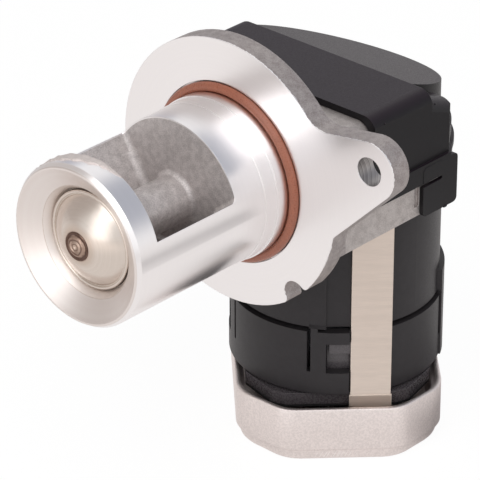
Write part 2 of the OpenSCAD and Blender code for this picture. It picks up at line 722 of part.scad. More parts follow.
// Sleeve with its band, four snap fingers, four snap windows and two strap channels
module sector_of(angle, r) polygon([[0, 0], for (k = [-2 : 2]) 2 * r * [cos(k * angle / 4), sin(k * angle / 4)]]);
module motor_sleeve() color([0.22, 0.21, 0.22]) difference() {
    at_motor() union() {
        level(sleeve_bottom, tray_bottom - 0.2) circle(sleeve_r);
        level(sleeve_bottom, band_top) circle(band_r);
        translate([0, 0, band_top]) cylinder(r1 = band_r, r2 = sleeve_r, h = band_r - sleeve_r);
        rotate([0, 0, 45]) level(sleeve_bottom, pad_top) intersection() {
            circle(band_r + pad_t);
            translate([0, -snap_w]) square([2 * band_r, 2 * snap_w]);
        }
    }
    at_motor() level(sleeve_bottom - cut, tray_bottom + cut) circle(sleeve_bore_r);
    at_motor() for (turn = [0 : 90 : 270]) rotate([0, 0, turn]) {
        level(band_top - slot_w, band_top + band_r) intersection() {
            ring(band_r + 2 * cut, sleeve_r);
            sector_of(finger_angle, band_r);
        }
        level(band_top - slot_w, band_top) intersection() {
            ring(band_r + cut, sleeve_bore_r - cut);
            sector_of(finger_angle, band_r);
        }
        for (side = [-1, 1]) rotate([0, 0, side * finger_angle / 2]) level(finger_root, band_top)
            translate([sleeve_bore_r - cut, -slot_w / 2]) square([band_r - sleeve_bore_r + 2 * cut, slot_w]);
        rotate([0, 0, 45]) level(snap_top - snap_h, snap_top)
            translate([sleeve_bore_r - cut, -snap_w / 2]) square([band_r - sleeve_bore_r + 2 * cut, snap_w]);
    }
    for (turn = [0, 180]) at_motor() rotate([0, 0, turn - 45]) {
        level(band_top - slot_w, tray_bottom + cut) translate([channel_dist, channel_from])
            square([band_r, channel_to - channel_from]);
        level(sleeve_bottom - cut, tray_bottom + cut)
            translate([channel_dist, strap_shift - strap_w / 2 - 0.4]) square([band_r, strap_w + 0.8]);
        level(band_top - slot_w, band_top) translate([sleeve_bore_r - 2, channel_from - 2.5])
            square([band_r, snap_w + 5]);
    }
}

// Base below the sleeve: a plate with cut corners, a bearing boss and four hooked tongues
base_corners = [[29.5, 16.5], [27.6, 20.4], [16, 27.7]];
function both_ways(points) = concat(points, [for (i = [len(points) - 1 : -1 : 0]) [-points[i][0], points[i][1]]],
    [for (p = points) -p], [for (i = [len(points) - 1 : -1 : 0]) [points[i][0], -points[i][1]]]);
tongue_from = can_r + 0.5;
tongue_to = sleeve_bore_r - 0.4;
module motor_base() color([0.17, 0.17, 0.18]) difference() {
    union() {
        facing_strap() level(base_plate_bottom, base_top) polygon(rounded(both_ways(base_corners), 1.5, 3));
        at_motor() level(boss_bottom, base_top) circle(9);
        at_motor() for (turn = [45 : 90 : 315]) rotate([0, 0, turn]) {
            level(base_top, snap_top - 0.4) intersection() {
                ring(tongue_to, tongue_from);
                translate([tongue_from / 2, -snap_w / 2 + 0.4]) square([tongue_to, snap_w - 0.8]);
            }
            level(snap_top - 4.2, snap_top - 0.4) translate([tongue_from, -snap_w / 2 + 1])
                square([channel_dist - tongue_from, snap_w - 2]);
        }
    }
    at_motor() level(boss_bottom + 2, boss_bottom + 7) circle(guide_r);
    at_motor() level(boss_bottom + 1, base_top + cut) circle(motor_shaft_r + 0.5);
    at_motor() level(boss_bottom + 7, base_top + cut) circle(guide_r);
}

module wave_washer() color("silver") at_motor() level(pan_floor, boss_bottom - rest_gap) ring(8, 5);

module pan_gasket() color([0.12, 0.12, 0.12]) facing_strap() level(base_plate_bottom - gasket_t, base_plate_bottom)
    difference() {
        polygon(rounded(both_ways(base_corners), 1.5, 3));
        polygon(rounded(both_ways([for (p = base_corners) p * 0.88]), 1.5, 3));
    }

// Pan: a long octagon with a flat side towards each strap, a narrower foot and a ledge under the base
pan_corner_r = 6;
module pan_outline(shrink, end_shrink) polygon(rounded(both_ways([[pan_half_l - end_shrink, 18.4 - 0.4 * shrink],
    [21.5 - 0.4 * shrink, pan_half_w - shrink]]), pan_corner_r - shrink / 2, 6));
module bottom_pan() color([0.8, 0.78, 0.76]) facing_strap() difference() {
    union() {
        level(pan_bottom + pan_foot_h, pan_rim) pan_outline(0, 0);
        hull() {
            level(pan_bottom + pan_bevel, pan_bottom + pan_foot_h) pan_outline(pan_inset, pan_inset / 3);
            level(pan_bottom, pan_bottom + pan_bevel) pan_outline(pan_inset + pan_bevel, pan_inset / 3 + pan_bevel);
        }
    }
    level(base_plate_bottom - gasket_t, pan_rim + cut) pan_outline(pan_wall, pan_wall);
    level(pan_floor, pan_rim + cut) polygon(rounded(both_ways([for (p = base_corners) p * 0.88]), 1.5, 3));
    for (turn = [0, 180]) rotate([0, 0, turn]) {
        level(pan_floor + 3, pan_rim + cut) translate([strap_dist - 0.4, strap_shift - strap_w / 2 - 0.6])
            square([4.6, strap_w + 1.2]);
        level(pan_floor + 3, pan_floor + 6) translate([strap_dist - 0.4, strap_shift - strap_w / 2 - 0.6])
            square([pan_half_l - 2.4 - strap_dist, strap_w + 1.2]);
    }
}

// A strap seen along its face: hooked over the tray's floor, flat along the sleeve, kinked into the pan
module strap_place(turn) at_motor() rotate([0, 0, turn - 45]) translate([0, strap_shift, 0]) children();
strap_foot = pan_floor + 4;
strap_hook = 4;
module strap_path() {
    top = floor_top + strap_t + 0.05;
    kink = base_top - 0.2;
    out = 2.2;
    polygon([[strap_dist - strap_hook, top - strap_t], [strap_dist, top - strap_t], [strap_dist, kink],
        [strap_dist + out, kink - 4], [strap_dist + out, strap_foot], [strap_dist + 4.2, strap_foot],
        [strap_dist + 4.2, strap_foot + strap_t], [strap_dist + out + strap_t, strap_foot + strap_t],
        [strap_dist + out + strap_t, kink - 4], [strap_dist + strap_t, kink], [strap_dist + strap_t, top],
        [strap_dist - strap_hook, top]]);
}
module strap(turn) color([0.78, 0.73, 0.68]) strap_place(turn) translate([0, strap_w / 2, 0]) rotate([90, 0, 0])
    linear_extrude(strap_w) strap_path();
module front_strap() strap(0);
module rear_strap() strap(180);

// Cover
module cover_gasket() color([0.1, 0.1, 0.1]) level(tray_rim, tray_rim + rest_gap) difference() {
    rear_rounded(cover_front + 4.6, tray_hw - 0.6, tray_hw - 0.6, ridge_y, rear_r - 0.6);
    rear_rounded(cover_front - 20, tray_hw - cast_wall + 0.4, tray_hw - cast_wall + 0.4, ridge_y,
        rear_r - cast_wall + 0.4);
}
board_top = cover_top - cover_wall - 0.6;
board_z = board_top - 1.6;
module circuit_board() color("darkgreen") level(board_z, board_top)
    translate([-neck_hw + 2.1, cover_front + 5]) square([neck_hw + 6, ridge_y - cover_front - 6]);

pin_x = -neck_hw + 3;
module connector_pins() color("gold") for (i = [0 : contacts - 1]) {
    y = socket_y + (i - (contacts - 1) / 2) * contact_pitch;
    translate([-socket_reach + 4, y - 0.4, socket_z - 0.5]) cube([socket_reach - 4 + pin_x, 0.8, 1]);
    translate([pin_x - 1, y - 0.4, socket_z - 0.5]) cube([1, 0.8, board_z - socket_z + 0.5]);
}

// The cover's outside and inside have the same form, drawn in by a wall: a front block that ends at the
// ridge, two lower shoulders behind it, a low rim around the rear and the raised round part over the motor
far = 90;
module across(points) rotate([90, 0, 90]) translate([0, 0, -far]) linear_extrude(2 * far) polygon(points);
module cover_solid(inset, bottom) {
    fall = tan(rear_slope);
    top = cover_top - inset;
    ridge = ridge_y - inset / 2;
    shoulder = shoulder_y - inset;
    intersection() {
        level(bottom, cover_top) rear_rounded(cover_front - (inset > 0 ? cut : 0), cover_front_hw - inset,
            cover_hw - inset, ridge_y + 8, rear_r - inset + 0.4);
        union() {
            upright(0, ridge) round_topped(cover_hw + 0.2 - inset, bottom, top, cover_edge_r);
            intersection() {
                translate([0, ridge, top - shoulder_drop]) rotate([-rear_slope, 0, 0])
                    upright(-cover_front, far) round_topped(cover_hw + 0.2 - inset, -far, 0, cover_edge_r);
                across([[ridge - cut, bottom], [ridge - cut, cover_top], [shoulder, cover_top],
                    [shoulder + 2.5, bottom]]);
            }
            level(bottom, rim_top - inset) translate([-far, ridge - cut]) square(2 * far);
        }
    }
    intersection() {
        at_motor() level(bottom, cover_top) circle(dome_part_r - inset);
        across([[ridge_y - 6, bottom], [ridge_y - 6, top], [ridge_y, top], [far, top - (far - ridge_y) * fall],
            [far, bottom]]);
    }
}
module skirt() difference() {
    level(skirt_bottom, skirt_top) difference() {
        rear_rounded(cover_front, cover_front_hw + skirt_step, cover_hw + skirt_step, ridge_y + 8,
            rear_r + 0.4 + skirt_step);
        rear_rounded(cover_front - cut, cover_front_hw - cover_wall, cover_hw - cover_wall, ridge_y + 8,
            rear_r + 0.4 - cover_wall);
    }
    translate([-far, shoulder_y + 3, rear_skirt_top]) cube([2 * far, far, far]);
}
cover_hw = tray_hw + 0.6;
latch_bottom = tray_bottom - 0.5;
latch_t = 0.4 + skirt_step;
latch_slot = 7.8;
module latches() for (side = [-1, 1])
    translate([side * (cover_hw + skirt_step - latch_t / 2) - latch_t / 2, latch_y, 0]) rotate([90, 0, 90])
        linear_extrude(latch_t) difference() {
            polygon(rounded([[0, latch_bottom], [latch_w, latch_bottom], [latch_w, skirt_top - 1],
                [0, skirt_top - 1]], 1.5, 4));
            translate([-cut, skirt_bottom - slot_w]) square([latch_slot + cut, slot_w]);
            translate([latch_slot, skirt_bottom - slot_w / 2]) circle(d = slot_w);
        }
module socket_outline(inset) translate([-socket_w / 2 + inset, -socket_h / 2 + inset])
    square([socket_w - 2 * inset, socket_h - 2 * inset]);
module top_cover() color([0.26, 0.24, 0.25]) difference() {
    union() {
        difference() {
            union() {
                cover_solid(0, skirt_bottom);
                skirt();
            }
            cover_solid(cover_wall, skirt_bottom - cut);
        }
        latches();
        translate([-tray_hw + 0.5, socket_y, socket_z]) rotate([90, 0, -90])
            linear_extrude(socket_reach - tray_hw + 0.5) socket_outline(0);
    }
    translate([-tray_hw - 1.2, socket_y, socket_z]) rotate([90, 0, -90]) linear_extrude(socket_reach)
        socket_outline(socket_wall);
    connector_pins();
}

valve_housing();
seat_ring();
stem_guide();
stem_seal();
snout_o_ring();
valve_head();
valve_stem();
spring_plate();
drive_yoke();
return_spring();
output_shaft();
output_gear();
crank_pin();
crank_bush();
sensor_magnet();
intermediate_shaft();
intermediate_gear();
motor_pinion();
motor_shaft();
rotor_core();
rotor_windings();
commutator();
motor_can();
motor_magnets();
upper_bearing();
lower_bearing();
brush_holder();
carbon_brushes();
motor_leads();
motor_sleeve();
motor_base();
wave_washer();
pan_gasket();
bottom_pan();
front_strap();
rear_strap();
cover_gasket();
circuit_board();
connector_pins();
top_cover();
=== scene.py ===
# %% [markdown]
# # An exhaust gas recirculation valve
# This lesson dresses a finished CAD model of an engine valve: a cast aluminium snout and flange,
# a black moulded cover, a motor in a black sleeve, two steel straps and an aluminium pan.
# The CAD solids come in as a fixed frame. Their shapes stay as they are, and this script gives
# them finishes, lets finer pieces stand for five of them, adds the small pieces that are easier
# to model here, and lights the stage.

# %% Frame
import json
import math

import bmesh
import bpy
from mathutils import Matrix, Vector, noise


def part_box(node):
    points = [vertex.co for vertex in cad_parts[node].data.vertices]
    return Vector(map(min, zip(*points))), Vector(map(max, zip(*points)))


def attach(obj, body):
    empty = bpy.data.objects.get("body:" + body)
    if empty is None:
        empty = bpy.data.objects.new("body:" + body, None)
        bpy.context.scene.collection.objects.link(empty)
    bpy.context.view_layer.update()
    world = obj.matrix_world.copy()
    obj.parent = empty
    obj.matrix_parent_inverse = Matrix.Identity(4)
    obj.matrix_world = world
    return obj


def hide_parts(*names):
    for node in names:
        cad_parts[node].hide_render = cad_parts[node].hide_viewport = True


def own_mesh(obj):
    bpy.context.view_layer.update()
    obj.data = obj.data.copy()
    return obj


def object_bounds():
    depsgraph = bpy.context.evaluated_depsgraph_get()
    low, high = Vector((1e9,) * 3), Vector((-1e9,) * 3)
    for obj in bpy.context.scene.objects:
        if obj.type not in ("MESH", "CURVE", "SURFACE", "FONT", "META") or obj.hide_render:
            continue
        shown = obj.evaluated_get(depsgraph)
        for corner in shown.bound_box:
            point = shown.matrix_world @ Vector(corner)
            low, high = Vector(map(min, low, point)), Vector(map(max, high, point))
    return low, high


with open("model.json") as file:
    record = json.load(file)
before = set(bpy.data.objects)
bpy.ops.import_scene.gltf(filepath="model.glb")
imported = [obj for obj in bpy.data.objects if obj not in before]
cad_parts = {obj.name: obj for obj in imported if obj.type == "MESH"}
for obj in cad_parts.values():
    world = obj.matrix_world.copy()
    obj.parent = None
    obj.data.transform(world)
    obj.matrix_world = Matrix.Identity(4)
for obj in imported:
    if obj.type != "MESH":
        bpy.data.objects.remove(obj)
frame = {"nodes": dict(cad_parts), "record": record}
scene = bpy.context.scene
cad_bounds = [list(corner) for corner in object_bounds()]
NODES = frame["nodes"]
MM = 0.001
print("nodes", len(NODES), "box", cad_bounds)

# %% [markdown]
# ## The camera
# The photograph was taken with a long lens from the front right and above. The place, the three
# angles and the focal length below were fitted to the turned edges of the snout, the flange and
# the motor, so the render and the photograph share one viewpoint.

# %% Camera
CAMERA_PLACE = (0.57269, -0.61352, 0.43111)
CAMERA_ANGLES = (61.640, 0.089, 42.737)
FOCAL_LENGTH = 248.87
SENSOR_WIDTH = 36.0
NEAREST, FARTHEST = 0.05, 50.0

camera_data = bpy.data.cameras.new("camera")
camera_data.lens = FOCAL_LENGTH
camera_data.sensor_fit = "HORIZONTAL"
camera_data.sensor_width = SENSOR_WIDTH
camera_data.clip_start, camera_data.clip_end = NEAREST, FARTHEST
camera = bpy.data.objects.new("camera", camera_data)
scene.collection.objects.link(camera)
camera.location = CAMERA_PLACE
camera.rotation_euler = [math.radians(a) for a in CAMERA_ANGLES]
scene.camera = camera
print("camera at", tuple(camera.location))

# %% [markdown]
# ## Helpers for node trees
# A finish is a tree of nodes. These few helpers add a node, feed a socket with a link or a plain
# value, do arithmetic, map a range and mix two colours, so that each finish below reads as a
# short recipe.


# %% Node helpers
def put(tree, kind, **settings):
    """A new node of that kind in the tree."""
    made = tree.nodes.new(kind)
    for name, value in settings.items():
        setattr(made, name, value)
    return made


def feed(tree, socket, value):
    """Links a socket into another one, or sets it to a plain value."""
    if isinstance(value, bpy.types.NodeSocket):
        tree.links.new(value, socket)
    elif value is not None:
        socket.default_value = value


def calc(tree, operation, a, b=None, c=None, clamp=False):
    """Arithmetic on links or numbers."""
    made = put(tree, "ShaderNodeMath", operation=operation, use_clamp=clamp)
    for socket, value in zip(made.inputs, (a, b, c)):
        feed(tree, socket, value)
    return made.outputs[0]


def ramp(tree, value, low, high, to_low=0.0, to_high=1.0):
    """A smooth step of the value between low and high, from to_low up to to_high."""
    made = put(tree, "ShaderNodeMapRange", interpolation_type="SMOOTHSTEP")
    for socket, number in zip(made.inputs[:5], (value, low, high, to_low, to_high)):
        feed(tree, socket, number)
    return made.outputs[0]


def mix(tree, share, a, b):
    """The share of b over a."""
    made = put(tree, "ShaderNodeMix", data_type="RGBA")
    feed(tree, made.inputs[0], share)
    for socket, value in zip(made.inputs[6:8], (a, b)):
        feed(tree, socket, value)
    return made.outputs[2]


def rgb(red, green, blue):
    """A linear colour from the 0 to 255 values of a picture."""
    parts = [v / 255 for v in (red, green, blue)]
    return (*[p / 12.92 if p < 0.04045 else ((p + 0.055) / 1.055) ** 2.4 for p in parts], 1.0)


# %% [markdown]
# ## The world
# The object stands on a plain pale floor in soft studio light. The world shows white to the
# camera. What polished metal mirrors is a studio: pale walls and sky, with a few softly greyer
# places, which draw the cool bands along the turned snout. Everything else is lit by an even
# world and large soft lamps at a plain level, so that each finish keeps the colour it is given.

# %% World
WHITE = (1.0, 1.0, 1.0, 1.0)
scene.view_settings.view_transform = "Standard"

LIGHT_LEVEL = 0.46
MIRRORED_SKY = (0.97, 0.97, 0.98, 1.0)
# direction, colour, angles at which the grey place is full and gone
GREY_PLACES = [
    ((0.38, 0.62, 0.68), (0.44, 0.46, 0.52, 1.0), 16, 42),
    ((-0.93, -0.22, 0.20), (0.62, 0.58, 0.56, 1.0), 20, 52),
    ((-0.60, -0.40, 0.70), (0.58, 0.54, 0.52, 1.0), 14, 40),
    ((-0.74, 0.63, 0.22), (0.46, 0.46, 0.52, 1.0), 6, 17),
]
world = bpy.data.worlds.new("studio")
scene.world = world
world.use_nodes = True
tree = world.node_tree
direction = put(tree, "ShaderNodeTexCoord").outputs["Generated"]
sky = MIRRORED_SKY
for aim, colour, full, gone in GREY_PLACES:
    nearness = put(tree, "ShaderNodeVectorMath", operation="DOT_PRODUCT")
    tree.links.new(direction, nearness.inputs[0])
    nearness.inputs[1].default_value = Vector(aim).normalized()
    share = ramp(
        tree, nearness.outputs["Value"], math.cos(math.radians(gone)), math.cos(math.radians(full))
    )
    sky = mix(tree, share, sky, colour)
path = put(tree, "ShaderNodeLightPath").outputs
level = (LIGHT_LEVEL, LIGHT_LEVEL, LIGHT_LEVEL, 1.0)
light = mix(tree, path["Is Glossy Ray"], level, sky)
shown = calc(tree, "MAXIMUM", path["Is Camera Ray"], path["Is Transmission Ray"])
light = mix(tree, shown, light, WHITE)
tree.links.new(light, tree.nodes["Background"].inputs["Color"])
print("world with", len(GREY_PLACES), "grey places")

# %% [markdown]
# ## The floor
# The floor is white to the camera, with the object's soft shadow on it. To polished metal it glows,
# paler on the side of the camera than behind the object. Three places painted into that mirrored
# floor shape the reflections: a strip of painted shade behind the object on the right, the object's
# own shade painted close by, and a painted pool of light in front, which carries the softbox's
# mirror image on downwards.

# %% Floor
FLOOR_SIZE = 12.0
FLOOR_GAP = 0.4 * MM
FLOOR_PAINT, FLOOR_ROUGHNESS = (0.86, 0.86, 0.86, 1.0), 0.9
FLOOR_SEEN, GLOW_SHARE = (1.07, 1.07, 1.07, 1.0), 0.86
MIRRORED_BEHIND, MIRRORED_AHEAD = (0.74, 0.70, 0.69, 1.0), (1.00, 0.965, 0.95, 1.0)
MIRRORED_SHADE, MIRRORED_LIGHT_POOL = (0.30, 0.28, 0.28, 1.0), (1.30, 1.23, 1.19, 1.0)
# where each of them starts and is full, in metres on the floor
AHEAD_RISES = (-0.60, -0.10)
STRIP_RISES, STRIP_FADES = (0.27, 0.33), (0.42, 0.50)
SHADE_CENTRE, SHADE_FADES, SHADE_RISES = (0.035, 0.075, 0.0), (0.020, 0.045), (0.06, 0.09)
POOL_MIDDLE, POOL_RISES, POOL_FADES = 0.03, (0.20, 0.42), (0.16, 0.34)
GONE = (1.0, 0.0)

bpy.ops.mesh.primitive_plane_add(size=FLOOR_SIZE, location=(0, 0, cad_bounds[0][2] - FLOOR_GAP))
floor = bpy.context.object
floor.name = "floor"
floor_paint = bpy.data.materials.new("floor_paint")
floor_paint.use_nodes = True
tree = floor_paint.node_tree
shader = tree.nodes["Principled BSDF"]
shader.inputs["Base Color"].default_value = FLOOR_PAINT
shader.inputs["Roughness"].default_value = FLOOR_ROUGHNESS
glow = put(tree, "ShaderNodeEmission")
path = put(tree, "ShaderNodeLightPath").outputs
on_floor = put(tree, "ShaderNodeTexCoord").outputs["Object"]
floor_place = put(tree, "ShaderNodeSeparateXYZ")
tree.links.new(on_floor, floor_place.inputs[0])
x, y = floor_place.outputs["X"], floor_place.outputs["Y"]
forward, backward = calc(tree, "SUBTRACT", x, y), calc(tree, "ADD", x, y)
mirrored = mix(tree, ramp(tree, forward, *AHEAD_RISES), MIRRORED_BEHIND, MIRRORED_AHEAD)

# painted shade: a darker strip behind the object on the right and the object's own shade close by,
# in what metal mirrors
strip_end = ramp(tree, backward, *STRIP_FADES, *GONE)
shade_strip = calc(tree, "MULTIPLY", ramp(tree, backward, *STRIP_RISES), strip_end)
away = put(tree, "ShaderNodeVectorMath", operation="DISTANCE")
tree.links.new(on_floor, away.inputs[0])
away.inputs[1].default_value = SHADE_CENTRE
close = ramp(tree, away.outputs["Value"], *SHADE_FADES, *GONE)
shaded = calc(tree, "MULTIPLY", close, ramp(tree, backward, *SHADE_RISES))
mirrored = mix(tree, calc(tree, "MAXIMUM", shade_strip, shaded), mirrored, MIRRORED_SHADE)

# painted light: a bright pool in front carries the softbox's mirror image downwards
ahead = ramp(tree, calc(tree, "MULTIPLY", y, -1.0), *POOL_RISES)
beside = calc(tree, "ABSOLUTE", calc(tree, "SUBTRACT", x, POOL_MIDDLE))
pool = calc(tree, "MULTIPLY", ahead, ramp(tree, beside, *POOL_FADES, *GONE))
mirrored = mix(tree, pool, mirrored, MIRRORED_LIGHT_POOL)

tree.links.new(mix(tree, path["Is Glossy Ray"], FLOOR_SEEN, mirrored), glow.inputs["Color"])
share = calc(tree, "MAXIMUM", path["Is Camera Ray"], path["Is Glossy Ray"])
layers = put(tree, "ShaderNodeMixShader")
tree.links.new(calc(tree, "MULTIPLY", share, GLOW_SHARE), layers.inputs[0])
tree.links.new(shader.outputs[0], layers.inputs[1])
tree.links.new(glow.outputs[0], layers.inputs[2])
tree.links.new(layers.outputs[0], tree.nodes["Material Output"].inputs["Surface"])
floor.data.materials.append(floor_paint)
print("floor at", round(floor.location.z, 4))

# %% [markdown]
# ## The lamps
# A tall softbox stands straight in front of the snout, with a smaller and brighter core inside it:
# the valve's dome and the lower left of the mouth's cone mirror them as one soft white window. A
# fill from the right keeps the black plastic readable, and a wide lamp above lights the cast edges.

# %% Lamps
TARGET = Vector((0.0, -0.02, -0.01))


def lamp(name, place, size, power):
    """A rectangular lamp of that size in metres and power in watts, aimed at the valve."""
    data = bpy.data.lights.new(name, "AREA")
    data.shape = "RECTANGLE"
    data.size, data.size_y = size
    data.energy = power
    made = bpy.data.objects.new(name, data)
    scene.collection.objects.link(made)
    made.location = place
    made.rotation_euler = (TARGET - Vector(place)).to_track_quat("-Z", "Y").to_euler()
    print(name, "at", place)


lamp("front_softbox", (0.08, -1.25, 0.30), (0.95, 1.15), 1.6)
lamp("front_core", (0.08, -1.22, 0.20), (0.56, 0.86), 0.80)
lamp("right_fill", (1.3, -0.15, 0.40), (0.8, 0.8), 1.4)
lamp("top_light", (0.36, -0.66, 1.05), (1.40, 1.10), 5.4)

# %% [markdown]
# ## Effects that finishes share
# Each effect is one node group with named inputs and outputs, built once. *Point* gives the place
# on the object in millimetres. *Grain* is a fine noise with a coarser one below it, for cast,
# blasted and moulded skins, and stretched it becomes brushed lines. *Turned* gives the rings that
# a lathe leaves around the snout's axis. *Edge* finds narrow edges with a Bevel node, and gives
# the rounded normal that makes them catch the light.


# %% Node groups
def group(name, inputs, outputs):
    """A node group with those inputs and outputs, and its two ends inside."""
    made = bpy.data.node_groups.new(name, "ShaderNodeTree")
    for label, kind, value in inputs:
        socket = made.interface.new_socket(label, in_out="INPUT", socket_type=kind)
        if value is not None:
            socket.default_value = value
    for label, kind in outputs:
        made.interface.new_socket(label, in_out="OUTPUT", socket_type=kind)
    return made, put(made, "NodeGroupInput").outputs, put(made, "NodeGroupOutput").inputs


def use(tree, made, **values):
    """The outputs of a group that is set into the tree."""
    holder = put(tree, "ShaderNodeGroup", node_tree=made)
    for label, value in values.items():
        feed(tree, holder.inputs[label], value)
    return holder.outputs


FLOAT, VECTOR = "NodeSocketFloat", "NodeSocketVector"
COARSE_SHARE, FINE_DETAIL, COARSE_DETAIL = 0.16, 3.0, 2.0
RINGS_ON_FACES, RINGS_DETAIL = 1.37, 1.5

POINT, start, end = group(
    "point_mm", [], [("Point", VECTOR), ("X", FLOAT), ("Y", FLOAT), ("Z", FLOAT), ("Radius", FLOAT)]
)
scaled = put(POINT, "ShaderNodeVectorMath", operation="SCALE")
POINT.links.new(put(POINT, "ShaderNodeTexCoord").outputs["Object"], scaled.inputs[0])
scaled.inputs["Scale"].default_value = 1 / MM
split = put(POINT, "ShaderNodeSeparateXYZ")
POINT.links.new(scaled.outputs[0], split.inputs[0])
x, z = split.outputs["X"], split.outputs["Z"]
across = calc(POINT, "ADD", calc(POINT, "MULTIPLY", x, x), calc(POINT, "MULTIPLY", z, z))
feed(POINT, end["Point"], scaled.outputs[0])
for axis in "XYZ":
    feed(POINT, end[axis], split.outputs[axis])
feed(POINT, end["Radius"], calc(POINT, "SQRT", across))

GRAIN, start, end = group(
    "grain",
    [("Size", FLOAT, 0.3), ("Stretch", VECTOR, (1, 1, 1))],
    [("Fine", FLOAT), ("Coarse", FLOAT), ("Height", FLOAT)],
)
place = use(GRAIN, POINT)
stretched = put(GRAIN, "ShaderNodeVectorMath", operation="MULTIPLY")
feed(GRAIN, stretched.inputs[0], place["Point"])
feed(GRAIN, stretched.inputs[1], start["Stretch"])
rate = calc(GRAIN, "DIVIDE", 1.0, start["Size"])
levels = []
for share, detail in ((1.0, FINE_DETAIL), (COARSE_SHARE, COARSE_DETAIL)):
    texture = put(GRAIN, "ShaderNodeTexNoise")
    feed(GRAIN, texture.inputs["Vector"], stretched.outputs[0])
    feed(GRAIN, texture.inputs["Scale"], calc(GRAIN, "MULTIPLY", rate, share))
    texture.inputs["Detail"].default_value = detail
    levels.append(texture.outputs[0])
feed(GRAIN, end["Fine"], ramp(GRAIN, levels[0], 0.25, 0.75))
feed(GRAIN, end["Coarse"], ramp(GRAIN, levels[1], 0.3, 0.7))
low = calc(GRAIN, "MULTIPLY", levels[1], 0.4)
feed(GRAIN, end["Height"], calc(GRAIN, "MULTIPLY_ADD", levels[0], 0.6, low))

TURNED, start, end = group("turned", [("Pitch", FLOAT, 0.3)], [("Lines", FLOAT), ("Height", FLOAT)])
place = use(TURNED, POINT)
along = calc(TURNED, "MULTIPLY_ADD", place["Radius"], RINGS_ON_FACES, place["Y"])
texture = put(TURNED, "ShaderNodeTexNoise", noise_dimensions="1D")
feed(TURNED, texture.inputs["W"], calc(TURNED, "DIVIDE", along, start["Pitch"]))
texture.inputs["Scale"].default_value = 1.0
texture.inputs["Detail"].default_value = RINGS_DETAIL
feed(TURNED, end["Lines"], ramp(TURNED, texture.outputs[0], 0.25, 0.75))
feed(TURNED, end["Height"], texture.outputs[0])

EDGE, start, end = group(
    "edge", [("Width", FLOAT, 0.3), ("Gain", FLOAT, 6.0)], [("Mask", FLOAT), ("Normal", VECTOR)]
)
rounded = put(EDGE, "ShaderNodeBevel", samples=4)
feed(EDGE, rounded.inputs["Radius"], calc(EDGE, "MULTIPLY", start["Width"], MM))
alike = put(EDGE, "ShaderNodeVectorMath", operation="DOT_PRODUCT")
EDGE.links.new(rounded.outputs[0], alike.inputs[0])
EDGE.links.new(put(EDGE, "ShaderNodeNewGeometry").outputs["Normal"], alike.inputs[1])
turn = calc(EDGE, "SUBTRACT", 1.0, alike.outputs["Value"])
feed(EDGE, end["Mask"], calc(EDGE, "MULTIPLY", turn, start["Gain"], clamp=True))
feed(EDGE, end["Normal"], rounded.outputs[0])
print("groups", [g.name for g in bpy.data.node_groups])

# %% [markdown]
# ## Plain finishes
# Most parts need one recipe: a colour that the grain makes lighter and darker, a roughness that
# varies with it, a small relief, and edges that are a little paler, partly where hands and tools
# have rubbed them and partly as a painted highlight. The table gives each finish its own values. A
# few later finishes also set the stretch of the grain, how much paler the edges are, and how much
# the surface shines.


# %% Plain recipe
def blank(name, metal):
    """A new material with its tree and its shader."""
    made = bpy.data.materials.new(name)
    made.use_nodes = True
    shader = made.node_tree.nodes["Principled BSDF"]
    shader.inputs["Metallic"].default_value = metal
    return made, made.node_tree, shader


def relief(tree, shader, height, depth, edge_width):
    """A bump of that depth, in millimetres, on a normal that is rounded at the edges."""
    edge = use(tree, EDGE, Width=edge_width)
    bump = put(tree, "ShaderNodeBump")
    bump.inputs["Distance"].default_value = MM
    feed(tree, bump.inputs["Height"], calc(tree, "MULTIPLY", height, depth))
    feed(tree, bump.inputs["Normal"], edge["Normal"])
    feed(tree, shader.inputs["Normal"], bump.outputs[0])
    return edge["Mask"]


def below(tree, value, limit, soft=0.05):
    """A mask that is 1 where the value is below the limit."""
    return ramp(tree, value, limit - soft, limit + soft, 1.0, 0.0)


def both(tree, *masks):
    """A mask that is 1 where all of these are."""
    made = masks[0]
    for mask in masks[1:]:
        made = calc(tree, "MULTIPLY", made, mask)
    return made


def either(tree, *masks):
    """A mask that is 1 where any of these is."""
    made = masks[0]
    for mask in masks[1:]:
        made = calc(tree, "MAXIMUM", made, mask)
    return made


def inverse(tree, mask):
    return calc(tree, "SUBTRACT", 1.0, mask)


def shade(colour, factor):
    """The colour made lighter or darker by that factor."""
    return (*[min(1.0, part * factor) for part in colour[:3]], 1.0)


EDGE_ROUNDING, RUB_AND_SHINE_GAIN = 0.25, 1.6
ROUGHNESS_SPREAD = 0.06


def plain(
    name, colour, rough, metal, size, depth, show, stretch=(1, 1, 1), rub_and_shine=0.2, specular=None
):
    """A finish with grain of that size and depth in millimetres, and with edges paled by wear and a
    painted highlight.
    """
    made, tree, shader = blank(name, metal)
    grain = use(tree, GRAIN, Size=size, Stretch=stretch)
    fine = calc(tree, "MULTIPLY", grain["Fine"], 0.6)
    tone = calc(tree, "MULTIPLY_ADD", grain["Coarse"], 0.4, fine)
    skin = mix(tree, tone, shade(colour, 1 - show), shade(colour, 1 + show))
    edges = relief(tree, shader, grain["Height"], depth, EDGE_ROUNDING)
    # painted highlight and wear: the edges that the Bevel node finds are painted paler
    rubbed_and_shiny = calc(tree, "MULTIPLY", edges, rub_and_shine)
    feed(tree, shader.inputs["Base Color"], mix(tree, rubbed_and_shiny, skin, shade(colour, RUB_AND_SHINE_GAIN)))
    smooth, dull = rough - ROUGHNESS_SPREAD, rough + ROUGHNESS_SPREAD
    feed(tree, shader.inputs["Roughness"], ramp(tree, grain["Fine"], 0.0, 1.0, smooth, dull))
    if specular is not None:
        shader.inputs["Specular IOR Level"].default_value = specular
    return made


